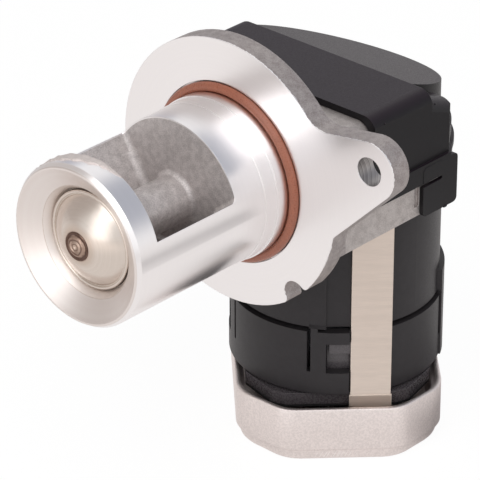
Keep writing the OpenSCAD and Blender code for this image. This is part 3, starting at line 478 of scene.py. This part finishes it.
# %% Finishes of the record's slots
# colour, roughness, metal, the grain's size and relief in millimetres, how much the grain shows
PLAIN = {
    "seat_steel": (rgb(186, 172, 160), 0.30, 1.0, 0.25, 0.004, 0.10),
    "sintered_bronze": (rgb(165, 140, 112), 0.50, 1.0, 0.20, 0.02, 0.20),
    "seal_polymer": (rgb(70, 56, 48), 0.55, 0.0, 0.30, 0.01, 0.10),
    "stem_steel": (rgb(205, 200, 194), 0.28, 1.0, 0.30, 0.004, 0.08),
    "drive_steel": (rgb(150, 150, 152), 0.42, 1.0, 0.30, 0.01, 0.14),
    "spring_steel": (rgb(112, 112, 116), 0.38, 1.0, 0.20, 0.006, 0.12),
    "gear_plastic": (rgb(214, 208, 188), 0.48, 0.0, 0.40, 0.01, 0.05),
    "magnet_ferrite": (rgb(52, 52, 55), 0.60, 0.0, 0.20, 0.02, 0.16),
    "pinion_brass": (rgb(214, 180, 110), 0.34, 1.0, 0.30, 0.006, 0.10),
    "motor_steel": (rgb(172, 175, 180), 0.40, 1.0, 0.40, 0.008, 0.12),
    "copper_wire": (rgb(200, 122, 80), 0.34, 1.0, 0.30, 0.01, 0.12),
    "carbon": (rgb(30, 30, 31), 0.62, 0.0, 0.25, 0.02, 0.18),
    "contact_metal": (rgb(222, 190, 120), 0.28, 1.0, 0.30, 0.004, 0.08),
    "gasket_rubber": (rgb(24, 24, 25), 0.62, 0.0, 0.30, 0.01, 0.12),
    "board": (rgb(28, 84, 52), 0.48, 0.0, 0.60, 0.01, 0.10),
}
materials = {name: plain(name, *values) for name, values in PLAIN.items()}
print("plain finishes", len(materials))

# %% [markdown]
# ## Black mouldings
# The cover is the deepest black, the sleeve a greyer one, and the motor's base the glossiest,
# with its black painted paler as a painted highlight.
# Moulded plastic has a faint spark-eroded grain, a slightly uneven gloss and edges that are hardly
# paled by wear and painted highlight.
# The cover is painted paler and warmer where it faces upwards: a little dust, and a painted sheen
# of the light from above.

# %% Black mouldings
materials["black_plastic"] = plain(
    "cover_black", rgb(24, 22, 25), 0.40, 0.0, 0.35, 0.012, 0.14, rub_and_shine=0.05, specular=0.24
)
# dust and painted sheen: the cover's upward faces are painted paler and warmer
DUST_AND_SHEEN = rgb(40, 31, 38)
DUST_AND_SHEEN_FROM, DUST_AND_SHEEN_FULL = 0.35, 0.95
tree = materials["black_plastic"].node_tree
colour_socket = tree.nodes["Principled BSDF"].inputs["Base Color"]
facing = put(tree, "ShaderNodeSeparateXYZ")
tree.links.new(put(tree, "ShaderNodeNewGeometry").outputs["Normal"], facing.inputs[0])
dust_and_sheen_share = ramp(tree, facing.outputs["Z"], DUST_AND_SHEEN_FROM, DUST_AND_SHEEN_FULL)
clean = colour_socket.links[0].from_socket
tree.links.new(mix(tree, dust_and_sheen_share, clean, DUST_AND_SHEEN), colour_socket)
sleeve_black = plain(
    "sleeve_black", rgb(50, 47, 49), 0.44, 0.0, 0.35, 0.012, 0.12, rub_and_shine=0.06, specular=0.28
)
# painted highlight: the base's black is painted much paler, standing in for the light on its glossy
# corner, which lies in the pan's shade
base_black_painted_light = plain(
    "base_black_painted_light", rgb(84, 79, 82), 0.28, 0.0, 0.60, 0.001, 0.03, rub_and_shine=0.0, specular=0.6
)
print("black mouldings: cover_black, sleeve_black, base_black_painted_light")

# %% [markdown]
# ## The sealing ring
# The ring is red-brown rubber with a dull shine and hardly any grain.

# %% Sealing ring rubber
materials["ring_rubber"] = plain(
    "ring_rubber", rgb(160, 94, 70), 0.32, 0.0, 0.35, 0.008, 0.10, rub_and_shine=0.1, specular=0.6
)
print("sealing ring in ring_rubber")

# %% [markdown]
# ## Blasted pan and brushed straps
# The pan was blasted with fine grit: a pale warm grey with a dense speckle. A few slanting
# scratches lie low on its front, as if it had been set down on a bench. The straps are steel
# sheet, brushed across their width, so their grain is stretched sideways.

# %% Pan and straps
MOTOR_Y = 47.5
SIDE = math.sqrt(0.5)
SCRATCH_MIDDLE, SCRATCH_REACH = -2.0, 6.0
SCRATCH_HEIGHT, SCRATCH_HALF = -93.1, 0.9
SCRATCH_LEAN, SCRATCHES_PER_MM, SCRATCH_STRENGTH = -0.55, 2.6, 0.7

materials["blasted_aluminium"] = plain(
    "blasted_aluminium", rgb(228, 219, 216), 0.50, 1.0, 0.10, 0.04, 0.16, rub_and_shine=0.35
)
tree = materials["blasted_aluminium"].node_tree
colour_socket = tree.nodes["Principled BSDF"].inputs["Base Color"]
place = use(tree, POINT)
from_motor = calc(tree, "SUBTRACT", calc(tree, "ADD", place["X"], place["Y"]), MOTOR_Y)
along = calc(tree, "MULTIPLY", from_motor, SIDE)
slant = calc(tree, "MULTIPLY_ADD", place["Z"], SCRATCH_LEAN, along)
texture = put(tree, "ShaderNodeTexNoise", noise_dimensions="1D")
feed(tree, texture.inputs["W"], calc(tree, "MULTIPLY", slant, SCRATCHES_PER_MM))
texture.inputs["Scale"].default_value = 1.0
lines = ramp(tree, texture.outputs[0], 0.56, 0.64)
aside = calc(tree, "ABSOLUTE", calc(tree, "SUBTRACT", along, SCRATCH_MIDDLE))
above = calc(tree, "ABSOLUTE", calc(tree, "SUBTRACT", place["Z"], SCRATCH_HEIGHT))
near = both(tree, below(tree, aside, SCRATCH_REACH, 2.5), below(tree, above, SCRATCH_HALF, 0.6))
scratched = calc(tree, "MULTIPLY", both(tree, lines, near), SCRATCH_STRENGTH)
grit = colour_socket.links[0].from_socket
tree.links.new(mix(tree, scratched, grit, rgb(250, 247, 245)), colour_socket)

BRUSHED = (0.06, 0.06, 1.0)
materials["strap_steel"] = plain(
    "strap_steel", rgb(212, 198, 187), 0.36, 1.0, 0.22, 0.006, 0.06, stretch=BRUSHED, rub_and_shine=0.35
)
print("pan in blasted_aluminium, straps in strap_steel")

# %% [markdown]
# ## The housing: one casting, two skins
# The housing is one aluminium casting. Where a lathe or a mill has been, it is pale and smooth:
# the outside of the snout, the mouth, the flange's front face, the ring's bed and the two bolt
# holes. Everywhere else it keeps the grey, grainy skin of the mould. Masks made from the place on
# the object choose between the two, and a little noise makes the border as uneven as a real one.

# %% Where the housing is machined
BOLT_REACH, BOLT_ANGLES = 55.9, (19.2, 215.0)
HOLE_RADIUS, HOLE_FRONT = 4.4, 0.3
FLANGE_FACE, FLANGE_WAVER = 0.52, 0.45
SNOUT_WALL = 23.7
MOUTH_REAR, MOUTH_BORE = -52.45, 23.3
THROAT_RADIUS, THROAT_FRONT = 16.85, -57.05
RING_BED_REAR, RING_BED_RADIUS = 1.5, 27.8
CHAMBER_RADIUS, CHAMBER_FRONT, CHAMBER_REAR = 23.75, -52.4, -0.5
RIM_RADIUS, RIM_REAR = 30.0, 9.0

housing_metal, tree, shader = blank("cast_aluminium", 1.0)
place = use(tree, POINT)
cast = use(tree, GRAIN, Size=0.34)
rings = use(tree, TURNED, Pitch=1.1)
radius, y = place["Radius"], place["Y"]
ragged = calc(tree, "MULTIPLY_ADD", use(tree, GRAIN, Size=0.9)["Fine"], FLANGE_WAVER, y)
in_front = below(tree, ragged, FLANGE_FACE)
outside = inverse(tree, below(tree, radius, SNOUT_WALL))
mouth = below(tree, y, MOUTH_REAR)
ring_bed = both(
    tree, below(tree, y, RING_BED_REAR), below(tree, radius, RING_BED_RADIUS), outside
)
holes = []
for angle in BOLT_ANGLES:
    x, z = (BOLT_REACH * turn(math.radians(angle)) for turn in (math.cos, math.sin))
    aside = calc(tree, "POWER", calc(tree, "SUBTRACT", place["X"], x), 2.0)
    above = calc(tree, "POWER", calc(tree, "SUBTRACT", place["Z"], z), 2.0)
    holes.append(below(tree, calc(tree, "SQRT", calc(tree, "ADD", aside, above)), HOLE_RADIUS))
hole = both(tree, either(tree, *holes), inverse(tree, below(tree, y, HOLE_FRONT)))
machined = either(tree, both(tree, in_front, outside), mouth, ring_bed, hole)
behind_front = inverse(tree, below(tree, y, THROAT_FRONT))
throat = both(tree, mouth, below(tree, radius, THROAT_RADIUS), behind_front)
bore = both(tree, mouth, below(tree, radius, MOUTH_BORE))
chamber = both(
    tree, below(tree, radius, CHAMBER_RADIUS), inverse(tree, below(tree, y, CHAMBER_FRONT)),
    below(tree, y, CHAMBER_REAR),
)
rim = both(tree, inverse(tree, below(tree, radius, RIM_RADIUS)), below(tree, y, RIM_REAR))
print("masks over", len(BOLT_ANGLES), "bolt holes, mouth, throat, ring bed, chamber and rim")

# %% [markdown]
# The cast skin is painted paler inside the chamber, a painted light where the photograph's light
# reaches it, and darker on the flange's rim. The turned skin is a little duller in the mouth's bore
# and in the bolt holes.

# %% Housing finish
CAST_METAL = 0.6
CAST_DEPTH, TURNED_DEPTH, HOUSING_EDGE = 0.07, 0.0003, 0.2
BORE_DULLER, HOLE_DULLER = 0.10, 0.22
WORN_AND_SHINY, WORN_AND_SHINY_SHARE = rgb(236, 232, 230), 0.45

cast_fine = calc(tree, "MULTIPLY", cast["Fine"], 0.65)
cast_tone = calc(tree, "MULTIPLY_ADD", cast["Coarse"], 0.35, cast_fine)
cast_skin = mix(tree, cast_tone, rgb(166, 158, 155), rgb(212, 205, 202))
rim_skin = mix(tree, cast_tone, rgb(142, 133, 131), rgb(190, 182, 180))
# painted light: the cast skin inside the chamber is paler where light falls into it
painted_light_chamber_skin = mix(tree, cast_tone, rgb(176, 169, 168), rgb(230, 224, 222))
cast_skin = mix(tree, chamber, mix(tree, rim, cast_skin, rim_skin), painted_light_chamber_skin)
turned_skin = mix(tree, rings["Lines"], rgb(242, 239, 239), rgb(243, 240, 240))
bore_skin = mix(tree, rings["Lines"], rgb(227, 219, 215), rgb(229, 222, 218))
hole_rings = use(tree, TURNED, Pitch=0.4)["Lines"]
hole_skin = mix(tree, hole_rings, rgb(140, 135, 134), rgb(196, 192, 190))
for mask, skin in ((bore, bore_skin), (throat, rgb(206, 192, 181)), (hole, hole_skin)):
    turned_skin = mix(tree, mask, turned_skin, skin)
cast_height = calc(tree, "MULTIPLY", cast["Height"], CAST_DEPTH)
turned_height = calc(tree, "MULTIPLY", rings["Height"], TURNED_DEPTH)
edges = relief(tree, shader, mix(tree, machined, cast_height, turned_height), 1.0, HOUSING_EDGE)
# painted highlight and wear: the housing's edges are painted paler
worn_and_shiny = calc(tree, "MULTIPLY", edges, WORN_AND_SHINY_SHARE)
skin = mix(tree, machined, cast_skin, turned_skin)
feed(tree, shader.inputs["Base Color"], mix(tree, worn_and_shiny, skin, WORN_AND_SHINY))
cast_rough = ramp(tree, cast["Fine"], 0.0, 1.0, 0.48, 0.60)
turned_rough = ramp(tree, rings["Lines"], 0.0, 1.0, 0.277, 0.283)
turned_rough = calc(tree, "MULTIPLY_ADD", bore, BORE_DULLER, turned_rough)
turned_rough = calc(tree, "MULTIPLY_ADD", hole, HOLE_DULLER, turned_rough)
feed(tree, shader.inputs["Roughness"], mix(tree, machined, cast_rough, turned_rough))
feed(tree, shader.inputs["Metallic"], ramp(tree, machined, 0.0, 1.0, CAST_METAL, 1.0))
materials["cast_aluminium"] = housing_metal
print("housing finish with", len(tree.nodes), "nodes")

# %% [markdown]
# ## The valve head
# The head is turned steel with a warm tone. Riveting the stem has heated it: a dark brown ring
# lies around the rivet, with a lighter halo around that.

# %% Valve head finish
HALO_RADIUS, HALO_SOFT, HALO_SHARE = 5.6, 1.6, 0.5
BURNT_RADIUS, BURNT_SOFT = 4.3, 0.35
made, tree, shader = blank("valve_steel", 1.0)
place = use(tree, POINT)
rings = use(tree, TURNED, Pitch=0.4)
steel = mix(tree, rings["Lines"], rgb(211, 200, 191), rgb(217, 207, 198))
halo = below(tree, place["Radius"], HALO_RADIUS, HALO_SOFT)
steel = mix(tree, calc(tree, "MULTIPLY", halo, HALO_SHARE), steel, rgb(176, 150, 130))
burnt = below(tree, place["Radius"], BURNT_RADIUS, BURNT_SOFT)
steel = mix(tree, burnt, steel, mix(tree, rings["Lines"], rgb(98, 76, 68), rgb(130, 104, 94)))
feed(tree, shader.inputs["Base Color"], steel)
feed(tree, shader.inputs["Roughness"], ramp(tree, rings["Lines"], 0.0, 1.0, 0.22, 0.25))
relief(tree, shader, rings["Height"], 0.0015, 0.2)
materials["valve_steel"] = made
print("valve head finish with", len(tree.nodes), "nodes")

# %% [markdown]
# ## Finishes go on the CAD parts
# The record names a slot for each part, and each slot has its finish by now. The sleeve and the
# motor's base share the cover's slot, but are blacks of their own.

# %% Finishes on the CAD parts
for part in frame["record"]["subparts"]:
    cad_part = NODES[part["node"]]
    cad_part.data.materials.clear()
    cad_part.data.materials.append(materials[part["material_slot"]])
NODES["motor_sleeve"].data.materials[0] = sleeve_black
NODES["motor_base"].data.materials[0] = base_black_painted_light

# %% [markdown]
# ## How the small pieces are made
# Most of them are turned or lofted forms. A turned piece starts as a circle with one corner for
# each corner of its section; the corners are moved onto the section and spun around the snout's
# axis. A loft is a stack of rings with equal numbers of corners. Every piece is then merged, its
# faces are turned outwards, it is shaded smooth up to an angle, and it rides on a body.


# %% Piece helpers
def finish_piece(made, name, body, finish, angle=35.0):
    """Cleans the mesh, names the piece, gives it its finish and sets it on its body."""
    made.name = made.data.name = name
    bpy.ops.object.select_all(action="DESELECT")
    bpy.context.view_layer.objects.active = made
    made.select_set(True)
    bpy.ops.object.mode_set(mode="EDIT")
    bpy.ops.mesh.select_all(action="SELECT")
    bpy.ops.mesh.remove_doubles(threshold=0.002 * MM)
    bpy.ops.mesh.delete_loose()
    bpy.ops.mesh.select_all(action="SELECT")
    bpy.ops.mesh.normals_make_consistent(inside=False)
    bpy.ops.object.mode_set(mode="OBJECT")
    bpy.ops.object.shade_smooth_by_angle(angle=math.radians(angle))
    bpy.ops.object.transform_apply(location=True, rotation=True, scale=True)
    made.data.materials.clear()
    made.data.materials.append(finish)
    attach(made, body)
    bpy.ops.object.select_all(action="DESELECT")
    print(name, len(made.data.polygons), "faces")


TURNED_SIDES = 128


def turned_piece(profile):
    """Spins a closed section of (radius, y) corners, in millimetres, around the snout's axis."""
    bpy.ops.mesh.primitive_circle_add(vertices=len(profile), radius=MM)
    made = bpy.context.object
    for corner, (radius, y) in zip(made.data.vertices, profile):
        corner.co = (radius * MM, y * MM, 0.0)
    bpy.ops.object.mode_set(mode="EDIT")
    bpy.ops.mesh.select_all(action="SELECT")
    bpy.ops.mesh.spin(steps=TURNED_SIDES, angle=2 * math.pi, center=(0, 0, 0), axis=(0, 1, 0))
    bpy.ops.object.mode_set(mode="OBJECT")
    return made


def from_rows(rows):
    """A closed loft through rings of points in millimetres, each ring with as many points."""
    work = bmesh.new()
    made_rows = [[work.verts.new([v * MM for v in point]) for point in row] for row in rows]
    count = len(rows[0])
    for low, high in zip(made_rows, made_rows[1:]):
        for i in range(count):
            j = (i + 1) % count
            work.faces.new((low[i], low[j], high[j], high[i]))
    work.faces.new(made_rows[0])
    work.faces.new(made_rows[-1][::-1])
    mesh = bpy.data.meshes.new("loft")
    work.to_mesh(mesh)
    work.free()
    made = bpy.data.objects.new("loft", mesh)
    scene.collection.objects.link(made)
    return made


# %% [markdown]
# ## The throat in front of the seat
# Between the wide cone of the mouth and the valve's bead lies a second, shallower cone. It is a
# ring with a wedge-shaped section, seated on the seat ring, and turned like the rest of the mouth.

# %% Throat ring
throat_metal, tree, shader = blank("throat_metal", 1.0)
rings = use(tree, TURNED, Pitch=0.5)
ring_colour = mix(tree, rings["Lines"], rgb(238, 230, 225), rgb(242, 235, 231))
feed(tree, shader.inputs["Base Color"], ring_colour)
feed(tree, shader.inputs["Roughness"], ramp(tree, rings["Lines"], 0.0, 1.0, 0.42, 0.46))
relief(tree, shader, rings["Height"], 0.001, 0.1)
throat_ring = turned_piece([(16.64, -57.0), (14.9, -54.5), (14.8, -54.02), (16.64, -54.02)])
finish_piece(throat_ring, "throat_ring", "housing", throat_metal)

# %% [markdown]
# ## The riveted end of the stem
# The stem passes through the head and its end is peened over. The punch leaves rings and a dimple,
# and the heat of it leaves brown tints. The piece repeats the whole stem, so it can stand for the
# CAD's, which ends in a plain disc.

# %% Peened stem
STEM_REAR = 29.83
stem_section = [
    (0.0, STEM_REAR), (3.0, STEM_REAR), (3.0, -51.5), (2.5, -51.5), (2.5, -60.1),
    (4.15, -60.15), (4.3, -60.3), (4.2, -60.45), (3.9, -60.52), (3.6, -60.42), (3.4, -60.3),
    (3.2, -60.34), (3.0, -60.6), (2.75, -60.82), (2.4, -60.92), (2.1, -60.86), (1.9, -60.66),
    (1.75, -60.6), (1.55, -60.72), (1.25, -60.9), (0.9, -60.92), (0.55, -60.7), (0.25, -60.55),
    (0.0, -60.5),
]
peened_steel, tree, shader = blank("peened_steel", 1.0)
place = use(tree, POINT)
spots = use(tree, GRAIN, Size=0.5)
waver = calc(tree, "MULTIPLY_ADD", spots["Coarse"], 0.5, place["Radius"])
tone = rgb(196, 176, 162)
# each tint starts at one radius, is full at the next, and goes on outwards to the one after it
for low, high, colour in (
    (0.9, 1.3, rgb(120, 96, 84)), (1.3, 1.8, rgb(186, 164, 150)), (2.1, 2.5, rgb(108, 84, 74)),
    (2.6, 3.1, rgb(168, 144, 130)), (3.3, 3.7, rgb(88, 66, 58)), (4.3, 4.7, rgb(132, 106, 94)),
):
    tone = mix(tree, ramp(tree, waver, low, high), tone, colour)
shank = inverse(tree, below(tree, place["Y"], -51.0, 0.2))
tone = mix(tree, shank, tone, rgb(205, 200, 194))
spotted = mix(tree, calc(tree, "MULTIPLY", spots["Fine"], 0.25), tone, rgb(150, 128, 114))
feed(tree, shader.inputs["Base Color"], spotted)
feed(tree, shader.inputs["Roughness"], ramp(tree, spots["Fine"], 0.0, 1.0, 0.30, 0.46))
relief(tree, shader, spots["Height"], 0.03, 0.05)
stem_end = turned_piece(stem_section)
finish_piece(stem_end, "peened_stem", "valve", peened_steel, 50.0)
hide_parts("valve_stem")

# %% [markdown]
# ## The pan
# The pan's corners are generous and its walls flow smoothly into each other. It is lofted from
# rounded outlines: from its floor up the inside and out over a narrow step, over the rim, then
# down the outer wall and over a small ledge to the bevelled foot. It stands for the CAD's pan,
# which has the same size and tighter corners. The solid also has the broad shelf that carries the
# motor's base. Little of that shelf can be seen past the base, and the loft doesn't have it.

# %% Rounded outlines
def rounded(corners, radii, steps):
    """The closed outline with an arc of that radius at each corner."""
    made = []
    count = len(corners)
    for i in range(count):
        here = Vector(corners[i])
        back = (Vector(corners[i - 1]) - here).normalized()
        on = (Vector(corners[(i + 1) % count]) - here).normalized()
        half = back.angle(on) / 2
        reach = radii[i] / math.tan(half)
        middle = here + (back + on).normalized() * (radii[i] / math.sin(half))
        start, end = here + back * reach - middle, here + on * reach - middle
        turn = math.atan2(start.x * end.y - start.y * end.x, start.dot(end))
        for k in range(steps + 1):
            arc = Matrix.Rotation(turn * k / steps, 2) @ start
            made.append((middle.x + arc.x, middle.y + arc.y))
    return made


def by_strap(x, y, z):
    """A place given as out from the motor towards the front strap, along its face, and up."""
    return (SIDE * (x + y), MOTOR_Y + SIDE * (y - x), z)


# %% Pan
LONG_RADIUS, WIDE_RADIUS = 10.0, 12.0
CORNER_STEPS = 10


def pan_row(shrink, end_shrink, z):
    """The pan's outline at height z, drawn in by shrink, and by end_shrink at its long ends."""
    long_corner = (37.3 - end_shrink, 17.2 - 0.4 * shrink)
    wide_corner = (24.6 - 0.4 * shrink, 30.8 - shrink)
    corners = []
    for sx, sy, order in ((1, 1, 0), (-1, 1, 1), (-1, -1, 0), (1, -1, 1)):
        pair = [(sx * x, sy * y) for x, y in (long_corner, wide_corner)]
        corners += pair[::-1] if order else pair
    sizes = [LONG_RADIUS, WIDE_RADIUS, WIDE_RADIUS, LONG_RADIUS] * 2
    outline = rounded(corners, [size + shrink * 0.8 for size in sizes], CORNER_STEPS)
    return [by_strap(x, y, z) for x, y in outline]


# up the inside from the floor, over the rim, and down the outside to the foot
PAN_SECTION = [
    (2.7, 2.7, -93.3), (2.7, 2.7, -80.5), (1.4, 1.4, -80.3), (1.4, 1.4, -77.7), (1.2, 1.2, -77.5),
    (0.35, 0.35, -77.5), (0.1, 0.1, -77.6), (0.0, 0.0, -77.85), (0.0, 0.0, -90.9),
    (0.15, 0.05, -91.2), (0.5, 0.15, -91.45), (1.0, 0.3, -91.6), (1.25, 0.38, -91.85),
    (1.3, 0.4, -93.8), (1.5, 0.6, -94.3), (1.9, 1.0, -94.8), (2.6, 1.8, -95.3),
]
pan = from_rows([pan_row(*section) for section in PAN_SECTION])
blasted = materials["blasted_aluminium"]
finish_piece(pan, "drawn_pan", "housing", blasted, 50.0)
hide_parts("bottom_pan")

# %% [markdown]
# ## The straps
# Each strap is a strip of brushed steel: hooked over the tray's floor, straight down the sleeve,
# and bent into the pan. The end below the last bend is a little wider and prouder than the strip,
# and the bend itself shows as a fine dark line. The end's steel is a paler and less metallic copy
# of the strip's, painted light that makes it a little brighter than the strip.

# %% Straps
STRAP_FACE = 30.2
STRAP_THICK = 0.8
STRAP_SHIFT = 8.65
STRAP_HALF = 6.05
STRAP_TOP = -11.65
FOOT_WIDER = 0.22
BROKEN_EDGE = 0.12
strap_path = [
    (STRAP_FACE - 4.0, STRAP_TOP - STRAP_THICK), (STRAP_FACE - 0.05, STRAP_TOP - STRAP_THICK),
    (STRAP_FACE, STRAP_TOP - STRAP_THICK - 0.3), (STRAP_FACE, -80.6), (STRAP_FACE + 2.2, -84.4),
    (STRAP_FACE + 2.2, -89.3), (STRAP_FACE + 4.2, -89.3), (STRAP_FACE + 4.2, -88.5),
    (STRAP_FACE + 3.0, -88.5), (STRAP_FACE + 3.0, -84.2), (STRAP_FACE + 0.8, -80.3),
    (STRAP_FACE + 0.8, STRAP_TOP - 0.5), (STRAP_FACE + 0.65, STRAP_TOP - 0.15),
    (STRAP_FACE + 0.3, STRAP_TOP), (STRAP_FACE - 4.0, STRAP_TOP),
]
foot_path = [
    (STRAP_FACE + 0.5, -76.3), (STRAP_FACE + 0.98, -76.3), (STRAP_FACE + 1.08, -76.45),
    (STRAP_FACE + 1.08, -80.2), (STRAP_FACE + 0.6, -80.3),
]


def strip(path, half, turn):
    """The path pushed out across the strap, with edges broken by a small bevel."""
    rows = []
    flat = half - BROKEN_EDGE
    for across, draw in ((-half, BROKEN_EDGE), (-flat, 0.0), (flat, 0.0), (half, BROKEN_EDGE)):
        row = []
        for i, (x, z) in enumerate(path):
            before, after = Vector(path[i - 1]), Vector(path[(i + 1) % len(path)])
            along = (after - before).normalized()
            inward = Vector((-along.y, along.x)) * draw
            row.append(by_strap(turn * (x + inward.x), turn * (STRAP_SHIFT + across), z + inward.y))
        rows.append(row)
    return from_rows(rows)


# painted light: the foot's steel is a paler, less metallic copy of the strip's
foot_steel_painted_light = plain(
    "strap_foot_steel_painted_light", rgb(226, 210, 198), 0.42, 0.55, 0.22, 0.006, 0.06, stretch=BRUSHED, rub_and_shine=0.35
)
for name, turn, node in (("front", 1, "front_strap"), ("rear", -1, "rear_strap")):
    strap = strip(strap_path, STRAP_HALF, turn)
    steel = materials["strap_steel"]
    finish_piece(strap, name + "_strap_strip", "housing", steel, 30.0)
    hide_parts(node)
    foot = strip(foot_path, STRAP_HALF + FOOT_WIDER, turn)
    finish_piece(foot, name + "_strap_foot", "housing", foot_steel_painted_light, 30.0)

# %% [markdown]
# ## Raw skin on the collar
# The lathe did not reach all of the collar: on its upper left a strip of the raw casting stays,
# light, rough and slightly proud, with a wavy border. It is a thin curved patch whose outer face
# is pushed in and out by noise and whose border sinks into the turned metal.

# %% Collar skin
COLLAR_RADIUS = 24.1
SKIN_FROM, SKIN_TO = math.radians(64), math.radians(176)
SKIN_COLUMNS, SKIN_ROWS = 120, 12
SKIN_REAR, SKIN_REACH = -52.48, 5.1
SKIN_PROUD, SKIN_BELOW, BORDER_SUNK = 0.42, 0.4, 0.04


def skin_front(angle):
    """How far forward the raw strip reaches at that angle around the collar."""
    share = (angle - SKIN_FROM) / (SKIN_TO - SKIN_FROM)
    wave = noise.noise(Vector((angle * 8.0, 3.1, 0.0))) * 1.1
    wave += noise.noise(Vector((angle * 24.0, 7.7, 0.0))) * 0.4
    reach = min(1.0, share / 0.40) ** 0.9 * min(1.0, (1 - share) / 0.12)
    return -52.7 - SKIN_REACH * reach - wave * min(1.0, share * 8) * min(1.0, (1 - share) * 8)


def skin_point(i, j, proud):
    """A corner of the strip, on its proud outer side or on its sunk inner side."""
    across, share = i / SKIN_COLUMNS, j / SKIN_ROWS
    angle = SKIN_FROM + (SKIN_TO - SKIN_FROM) * across
    y = SKIN_REAR + (skin_front(angle) - SKIN_REAR) * share
    border = min(1.0, 6 * share, 12 * (1 - share), 12 * across, 12 * (1 - across))
    place = Vector((angle * COLLAR_RADIUS, y, 0.0))
    bumps = noise.noise(place * 0.50) * 0.34 + noise.noise(place * 1.5) * 0.14
    radius = COLLAR_RADIUS + (border * (SKIN_PROUD + bumps) - BORDER_SUNK if proud else -SKIN_BELOW)
    return (radius * math.cos(angle), y, radius * math.sin(angle))


skin_rows = []
for i in range(SKIN_COLUMNS + 1):
    outer = [skin_point(i, j, True) for j in range(SKIN_ROWS + 1)]
    inner = [skin_point(i, j, False) for j in range(SKIN_ROWS, -1, -1)]
    skin_rows.append(outer + inner)
raw_skin = plain("raw_skin", rgb(224, 214, 210), 0.58, 0.35, 0.30, 0.06, 0.08, rub_and_shine=0.0)
collar_skin = from_rows(skin_rows)
finish_piece(collar_skin, "collar_raw_skin", "housing", raw_skin, 60.0)

# %% [markdown]
# ## The chamber's left wall
# Inside the window the slanted left wall runs on down behind the stem's boss. The web that carries
# it is lofted from one section, and near the rear wall the section grows outwards in a quarter
# circle, so that the web flows into that wall as the casting's other blends do.

# %% Chamber web
WEB_NORMAL = Vector((0.867, 0.498))
WEB_TOP, WEB_FOOT = Vector((-16.55, 9.3)), Vector((-9.6, -2.8))
WEB_BACK = [Vector(at) for at in ((-15.3, -4.4), (-16.4, -1.0), (-16.8, 4.0), (-18.4, 9.0))]
WEB_BLEND, WEB_REAR, WEB_FRONT = 2.8, -21.3, -51.15
BLEND_STEPS, FACE_STEPS = 8, 6
web_rows = []
for k in range(BLEND_STEPS + 1):
    turn = math.radians(90 * k / BLEND_STEPS)
    push = WEB_BLEND * (1 - math.sin(turn))
    y = WEB_REAR - WEB_BLEND * (1 - math.cos(turn))
    shares = [i / FACE_STEPS for i in range(FACE_STEPS + 1)]
    face = [WEB_TOP.lerp(WEB_FOOT, share) + WEB_NORMAL * push for share in shares]
    web_rows.append([(point.x, y, point.y) for point in face + WEB_BACK])
web_rows.append([(x, WEB_FRONT, z) for x, y, z in web_rows[-1]])
web = from_rows(web_rows)
finish_piece(web, "chamber_web", "housing", housing_metal, 50.0)

# %% [markdown]
# ## The return spring
# The spring is seated on the housing and pushes the valve shut. It is wound here from a round wire,
# with closed coils at both ends.

# %% Wound spring
SPRING_TURNS, SPRING_STEPS = 5, 24
WIRE_RADIUS, WIRE_SIDES = 0.65, 12
low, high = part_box("return_spring")
spring_from, spring_to = low[1] / MM, high[1] / MM
coil = (high[0] - low[0]) / MM / 2 - WIRE_RADIUS
rise = spring_to - spring_from - 2 * WIRE_RADIUS
closed = 2 * WIRE_RADIUS / rise


def spring_rise(share):
    """How far along the spring the wire has come after that share of its turns."""
    coils = share * SPRING_TURNS
    if coils < 1:
        return closed * coils
    if coils > SPRING_TURNS - 1:
        return 1 - closed * (SPRING_TURNS - coils)
    return closed + (1 - 2 * closed) * (coils - 1) / (SPRING_TURNS - 2)


spring_rows = []
for i in range(SPRING_TURNS * SPRING_STEPS + 1):
    angle = 2 * math.pi * i / SPRING_STEPS
    along = spring_from + WIRE_RADIUS + rise * spring_rise(i / (SPRING_TURNS * SPRING_STEPS))
    row = []
    for k in range(WIRE_SIDES):
        around = 2 * math.pi * k / WIRE_SIDES
        radius, y = coil + WIRE_RADIUS * math.cos(around), along + WIRE_RADIUS * math.sin(around)
        row.append((radius * math.cos(angle), y, radius * math.sin(angle)))
    spring_rows.append(row)
spring = from_rows(spring_rows)
finish_piece(spring, "wound_spring", "housing", materials["spring_steel"], 60.0)
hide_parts("return_spring")
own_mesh(spring)

# %% [markdown]
# ## Marks of the moulds
# Small things that moulds leave: a nub of plastic under the latch where it was cut from its gate,
# two pips on the cover, and ragged flash along the lower edge of the casting. Each starts as an
# icosphere that is flattened or drawn out, roughened by noise, and half sunk in its carrier.

# %% Nubs, pips and flash
MARKS = [
    ("latch_nub", (38.25, 51.2, -16.95), (0.55, 0.9, 0.5), 0.08, "black_plastic"),
    ("cover_pip_1", (36.27, 47.9, 16.29), (0.30, 0.34, 0.26), 0.04, "black_plastic"),
    ("cover_pip_2", (37.27, 24.77, 18.72), (0.30, 0.34, 0.26), 0.04, "black_plastic"),
    ("casting_flash_1", (36.75, 34.9, -15.9), (0.45, 1.7, 0.45), 0.22, "cast_aluminium"),
    ("casting_flash_2", (36.75, 8.8, -14.6), (0.45, 1.3, 0.40), 0.22, "cast_aluminium"),
]
for name, place, size, rough, slot in MARKS:
    bpy.ops.mesh.primitive_ico_sphere_add(subdivisions=4, radius=MM)
    made = bpy.context.object
    for corner in made.data.vertices:
        direction = corner.co.normalized()
        bump = 1 + rough * noise.noise(direction * 2.3 + Vector(place)) * 2
        corner.co = [
            (at + part * reach * bump) * MM for at, part, reach in zip(place, direction, size)
        ]
    finish_piece(made, name, "housing", materials[slot], 60.0)
